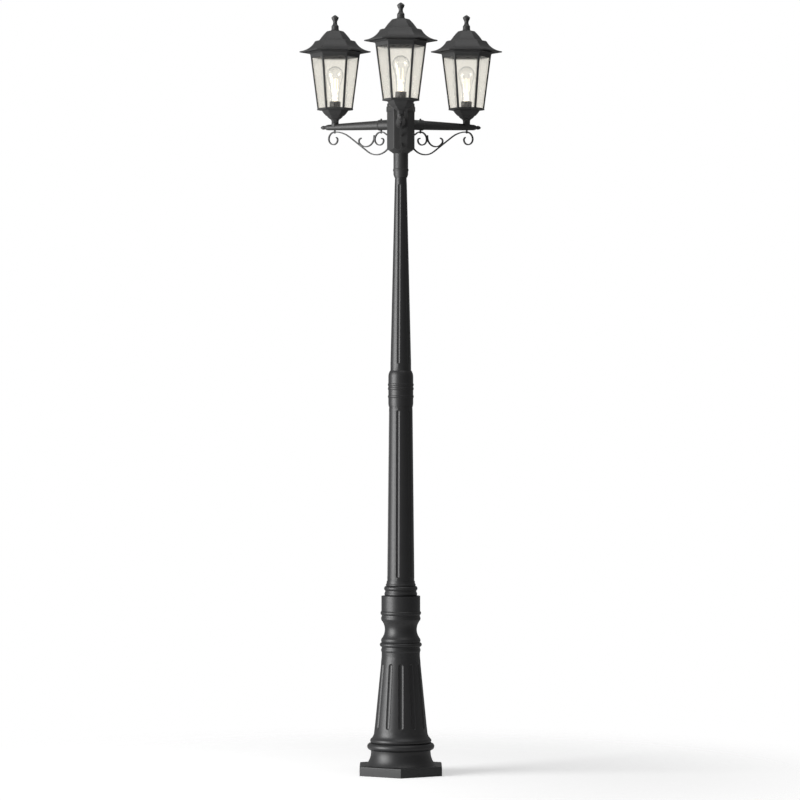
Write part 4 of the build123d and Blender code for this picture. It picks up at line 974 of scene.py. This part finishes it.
c_middle = inner_middle + beside_run + run_way * (
    sqrt(along_run**2 - beside_run.length**2 + from_curl**2) - along_run
)
to_curl = inner_middle - c_middle
c_start = degrees(atan2(to_curl.y, to_curl.x)) % 360 - c_scroll_past_curl
c_turn = (degrees(sweep_angle) - 90) % 360 + c_scroll_past_run - c_start

for arm in arm_angles:
    outer_curl = Bar(outer_top, 0)
    for radius, turn in zip(outer_curl_radii, outer_curl_turns):
        outer_curl.bend(radius, -turn)
    long_s = Bar(outer_top, 180).bend(upper_sweep, degrees(sweep_angle))
    long_s.run((run_high - run_low).length)
    long_s.bend(lower_sweep, -degrees(sweep_angle) - hub_turn)
    inner_curl = Bar(stem_top, inner_stem_slope)
    for radius, turn in zip(inner_curl_radii, inner_curl_turns):
        inner_curl.bend(radius, -turn)
    stem = Bar(stem_top, inner_stem_slope + 180).run(stem_length)
    c_scroll = Bar(c_middle + way(radians(c_start)) * c_scroll_radius, c_start + 90)
    c_scroll.bend(c_scroll_radius, c_turn).bend(c_hook_radius, c_hook_turn)
    scroll = bmesh.new()
    for bar in (outer_curl, long_s, inner_curl, stem, c_scroll):
        bmesh.ops.recalc_face_normals(bar.mesh, faces=bar.mesh.faces)
        soften(bar.mesh, bar_edge, sharper_than=40, segments=2)
        join(scroll, bar.mesh)
    scroll = to_arm(scroll, arm)
    finished(scroll, f"{arm}_scroll_bars", f"{arm}_scroll", "coated_steel", sand_powder_coat)

# Each bracket hangs on two black button-head screws, driven up into the bosses.


def button_screw(head_radius, head_height, shank_radius, shank_length):
    """Screw down -Z from under its head, with a hexagon socket in its rounded head."""
    edge = head_height * 0.6
    socket = head_radius * 0.45
    side = (head_radius, head_height - edge)
    made = spun(
        [
            (0, -shank_length),
            (shank_radius - 0.0003, -shank_length),
            (shank_radius, 0.0004 - shank_length),
            (shank_radius, 0),
            (head_radius, 0),
            side,
            *arc(side, (head_radius * 0.68, head_height), leaving=(0, 1), steps=5),
        ],
        36,
        closed=False,
    )
    join(
        made,
        hexagonal(
            [(socket, head_height), (socket, head_height * 0.35), (0, head_height * 0.25)],
            closed=False,
        ),
    )
    cover(made, head_height)
    return made


screw_head = (0.0031, 0.0026)
screw_radius = 0.0016
screws = bmesh.new()
for arm in arm_angles:
    for reach, bar_top, tip_level in (
        (outer_screw_reach, outer_bar_top, -0.0076),
        (inner_screw_reach, inner_bar_top, -0.0104),
    ):
        head_level = -bar_top - bar_thickness
        screw = button_screw(*screw_head, screw_radius, tip_level - head_level)
        bmesh.ops.rotate(screw, verts=screw.verts, matrix=Matrix.Rotation(pi, 3, "X"))
        join(screws, to_arm(move_out(screw, 0, reach, head_level), arm))
finished(screws, "bracket_screws", "scroll_screws", "black_screws", black_zinc)

# ------------------------------------------------------------------ lantern bowls
# Cast hexagonal cup with a moulded step and a narrow neck. A hollow nipple through its floor
# holds it down on the arm's pad.

lantern_foot = arm_axis + pad_height


def to_lantern(mesh, arm, level=0.0):
    """Lift a piece of a lantern to its place. A side of every lantern faces the same way."""
    return move_out(mesh, arm_angles[arm], arm_reach, lantern_foot + level)


bowl_neck = (0.0095, 0.005)  # reach of a side and height, up the outside of the cup
bowl_throat = (0.0145, 0.0135)
bowl_step = (0.0213, 0.022)
bowl_step_width = 0.002
bowl_middle = (0.0307, 0.031)
bowl_rim = (0.0355, 0.0395)
bowl_wall = 0.0032
bowl_floor = 0.014


def arc_through(start, middle, end, steps=8):
    """Points on the arc from start through middle to end, without its start."""
    to_start, to_end = Vector(start) - Vector(middle), Vector(end) - Vector(middle)
    side = 1 if to_start.x * to_end.y < to_start.y * to_end.x else -1
    half_chord = (to_end - to_start).length / 2
    bulge = side * half_chord * tan((pi - to_start.angle(to_end)) / 2)
    return arc(start, end, bulge, steps=steps)


for arm in arm_angles:
    step_out = (bowl_step[0] + bowl_step_width, bowl_step[1])
    bowl = hexagonal(
        [
            (0, 0),
            (bowl_neck[0], 0),
            bowl_neck,
            *arc(bowl_neck, bowl_throat, leaving=(0, 1), steps=5),
            *arc(bowl_throat, bowl_step, 0.0009, steps=4),
            step_out,
            *arc_through(step_out, bowl_middle, bowl_rim, steps=7),
            (bowl_rim[0] - bowl_wall, bowl_rim[1]),
            (bowl_step[0] - bowl_wall, bowl_step[1]),
            (bowl_throat[0] - bowl_wall, bowl_floor),
            (0, bowl_floor),
        ],
        closed=False,
    )
    soften(bowl, 0.0006, sharper_than=34, segments=2)
    finished(to_lantern(bowl, arm), f"{arm}_lantern_bowl", f"{arm}_bowl", *sand)

# ------------------------------------------------------------------ lantern cages
# Die-cast frame: a floor plate, six upright angle posts that lean out, and a coved head ring
# that the roof sits on. The windows are open, and the glass stands behind their edges.

plate_low = 0.0395
cage_low = 0.0435
cage_top = 0.206
rim_top = 0.2155
plate_corner = 0.0545
cage_low_corner = 0.054
cage_high_corner = 0.075
cage_high_flat = cage_high_corner * flat_ratio
cage_middle = (cage_low + cage_top) / 2
cage_lean = (cage_high_corner - cage_low_corner) / (cage_top - cage_low)
rim_flat = 0.0727
rim_lip = 0.0025
rim_land = 0.0095
cage_wall = 0.0026
corner_flange = 0.0063
bottom_rail = 0.002
top_rail = 0.007
plate_hole = 0.024

for arm in arm_angles:
    cage = bmesh.new()
    bmesh.ops.create_cone(
        cage,
        cap_ends=False,
        segments=6,
        radius1=cage_low_corner,
        radius2=cage_high_corner,
        depth=cage_top - cage_low,
        matrix=Matrix.Translation((0, 0, cage_middle)) @ Matrix.Rotation(radians(30), 4, "Z"),
    )
    bmesh.ops.inset_individual(cage, faces=cage.faces[:], thickness=corner_flange)
    window_low, window_high = cage_low + bottom_rail, cage_top - top_rail
    windows = [
        face
        for face in cage.faces
        if all(cage_low + same_level < vert.co.z < cage_top - same_level for vert in face.verts)
    ]
    for face in windows:
        away = Vector((face.normal.x, face.normal.y, 0)).normalized()
        along = Vector((-away.y, away.x, 0))
        for vert in face.verts:
            level = window_high if vert.co.z > cage_middle else window_low
            grown = cage_lean * (level - vert.co.z)  # growth of the corners' radius
            hand = 1 if vert.co.dot(along) > 0 else -1
            vert.co += (away * flat_ratio + along * hand / 2) * grown
            vert.co.z = level
    bmesh.ops.delete(cage, geom=windows, context="FACES_ONLY")
    bmesh.ops.recalc_face_normals(cage, faces=cage.faces)
    bmesh.ops.solidify(cage, geom=cage.faces[:], thickness=cage_wall)
    bmesh.ops.recalc_face_normals(cage, faces=cage.faces)
    soften(cage, 0.0004, sharper_than=40, segments=2)
    ring = hexagonal(
        [
            (cage_high_flat, cage_top),
            *arc(
                (cage_high_flat, cage_top),
                (rim_flat, rim_top - rim_lip),
                leaving=(cage_lean * flat_ratio, 1),
                steps=7,
            ),
            (rim_flat, rim_top),
            (rim_flat - rim_land, rim_top),
            (cage_high_flat - cage_wall, cage_top),
        ]
    )
    soften(ring, 0.0005, sharper_than=40, segments=2)
    join(cage, ring)
    plate = bmesh.new()
    for level in (plate_low, cage_low):
        for radius, segments in ((plate_corner, 6), (plate_hole, 48)):
            bmesh.ops.create_circle(
                plate,
                cap_ends=False,
                radius=radius,
                segments=segments,
                matrix=Matrix.Translation((0, 0, level)) @ Matrix.Rotation(radians(30), 4, "Z"),
            )
    plate.edges.ensure_lookup_table()
    rings = [plate.edges[0:6], plate.edges[6:54], plate.edges[54:60], plate.edges[60:108]]
    for first, second in ((0, 1), (1, 3), (3, 2), (2, 0)):
        bmesh.ops.bridge_loops(plate, edges=rings[first] + rings[second])
    bmesh.ops.recalc_face_normals(plate, faces=plate.faces)
    join(cage, plate)
    finished(to_lantern(cage, arm), f"{arm}_lantern_cage", f"{arm}_cage", *sand)

# Three zinc-plated button-head screws hold each cage's floor down on its bowl.
cage_screw_circle = 0.0285
cage_screw_head = (0.0036, 0.0022)
cage_screw_radius = 0.002
cage_screw_length = 0.009
screws = bmesh.new()
for arm in arm_angles:
    for turn in (30, 150, 270):
        screw = button_screw(*cage_screw_head, cage_screw_radius, cage_screw_length)
        move_out(screw, arm_angles[arm] + turn, cage_screw_circle, cage_low)
        join(screws, to_lantern(screw, arm))
finished(screws, "floor_screws", "cage_screws", "zinc_steel", zinc_plate)

# ------------------------------------------------------------------ panes
# Six trapezoid panes of drawn glass to a lantern, 3 mm thick, faintly ivory and with a soft
# upright ripple about 6 mm wide.

wave_depth = 0.0002


def glass(name, colours, roughness, ior, wave, stretch=(1, 1, 1)):
    """Clear glass with shallow waves of a width in metres."""
    clear = {"IOR": ior, "Transmission Weight": 1}
    return moulded(name, colours, roughness, wave, wave_depth, 1, stretch, **clear)


drawn_glass = glass("drawn_glass", ("#f7f5ef", "#fbf9f4"), 0.14, 1.5, 0.006, (1, 1, 0.06))
rework([f"{arm}_panes" for arm in arm_angles], drawn_glass)

# ------------------------------------------------------------------ roofs
# Die-cast hexagonal roof: a hollow-curved brim, a moulded terrace and a domed crown, with a
# skirt that drops into the cage. It lifts off to change the bulb.

roof_seat = 0.2158
brim_flat = 0.0935
brim_low = roof_seat - 0.001
brim_edge = 0.0035
flare_radius = 0.0507  # the hollow sweep of the brim
shoulder = (0.0536, roof_seat + 0.0318)
terrace = (0.051, roof_seat + 0.034)
dome_low = (0.0415, roof_seat + 0.036)
dome_middle = (0.0316, roof_seat + 0.0512)
dome_high = (0.0217, roof_seat + 0.0632)
crown = (0.0122, roof_seat + 0.0657)
roof_wall = 0.003
skirt_flat = 0.062
skirt_low = roof_seat - 0.0075
roof_land = 0.0045
brim_top = Vector((brim_flat, brim_low + brim_edge))
flare_chord = Vector(shoulder) - brim_top
flare_middle = (brim_top + Vector(shoulder)) / 2 + Vector(
    (flare_chord.y, -flare_chord.x)
).normalized() * sqrt(flare_radius**2 - flare_chord.length_squared / 4)


def flare(start, end, inset=0.0, steps=8):
    """Points on the brim's sweep between two distances from the axis, or that far beneath it."""
    points = []
    for step in range(steps + 1):
        reach = start + (end - start) * step / steps
        drop = sqrt((flare_radius + inset) ** 2 - (flare_middle.x - reach) ** 2)
        points.append((reach, flare_middle.y - drop))
    return points


for arm in arm_angles:
    roof = hexagonal(
        [
            (brim_flat, brim_low),
            *flare(brim_flat, shoulder[0], steps=12),
            terrace,
            dome_low,
            *arc_through(dome_low, dome_middle, dome_high, steps=10),
            crown,
            (0, crown[1]),
            (0, crown[1] - roof_wall),
            (dome_high[0] - roof_wall, crown[1] - roof_wall),
            (dome_middle[0] - roof_wall, dome_middle[1] - roof_wall / 2),
            (dome_low[0] - roof_wall, dome_low[1] - roof_wall),
            *flare(shoulder[0] - roof_wall / 2, skirt_flat - roof_wall, roof_wall, 4),
            (skirt_flat - roof_wall, skirt_low),
            (skirt_flat, skirt_low),
            (skirt_flat, roof_seat),
            (skirt_flat + roof_land, roof_seat),
            *flare(skirt_flat + roof_land, brim_flat - roof_wall, roof_wall, 6),
            (brim_flat - roof_wall, brim_low),
        ]
    )
    soften(roof, 0.0007, sharper_than=28, segments=2)
    roof = to_lantern(roof, arm)
    finished(roof, f"{arm}_lantern_roof", f"{arm}_roof", *sand, body=f"{arm}_roof_body")

# ------------------------------------------------------------------ roof finials
# Small turned casting screwed into the crown: a drum, a neck, and a cup with a pointed lid. It
# lifts with the roof.

finial_foot = roof_seat + 0.0657
finial_seat = (0.0122, 0)
drum_low = (0.011, 0.0045)
drum_high = (0.011, 0.0115)
drum_shoulder = (0.0092, 0.015)
finial_neck = 0.0062
finial_cup = (0.0094, 0.0325)
lid_low = (0.0111, 0.038)
lid_edge = (0.0111, 0.0392)
lid_top = (0.0016, 0.0462)
finial_peak = (0, 0.047)

for arm in arm_angles:
    neck_bulge = finial_neck - (finial_cup[0] + drum_shoulder[0]) / 2
    finial = spun(
        [
            (0, 0),
            finial_seat,
            drum_low,
            drum_high,
            *arc(drum_high, drum_shoulder, leaving=(0, 1), steps=4),
            *arc(drum_shoulder, finial_cup, neck_bulge, steps=12),
            lid_low,
            lid_edge,
            *arc(lid_edge, lid_top, leaving=(-1, 1), steps=6),
            finial_peak,
        ],
        48,
        closed=False,
    )
    finial = to_lantern(finial, arm, finial_foot)
    finished(finial, f"{arm}_roof_finial", f"{arm}_finial", *sand, body=f"{arm}_roof_body")

# ------------------------------------------------------------------ lampholders and bulbs
# A black thermoset holder, and a clear bulb with a nickel-plated cap, whose coated rods glow on
# a pale glass stem.

thermoset = moulded("black_thermoset", ("#38383a", "#444446"), 0.4, 0.003, 0.00003)
rework([f"{arm}_lampholder" for arm in arm_angles], thermoset)

nickel = metal("nickel_plate", ("#c9c6bf", "#bdb9b0"), 0.004, 2, 0.25)
rework([f"{arm}_bulb_cap" for arm in arm_angles], nickel)
blown_glass = glass("blown_glass", ("#ffffff", "#ffffff"), 0.02, 1.48, 0.02)
rework([f"{arm}_bulb_globe" for arm in arm_angles], blown_glass)

rod_glow = 1.2
glowing_rods, tree, shader = new_material("glowing_rods")
colour = tone(tree, noise(tree, 0.0015, 1), ("#fff6dc", "#fffaf0"))
light = {"Emission Color": colour, "Emission Strength": rod_glow}
wire(tree, shader, {"Base Color": colour, "Roughness": 0.5, **light})
rework([f"{arm}_bulb_stem" for arm in arm_angles], glowing_rods)
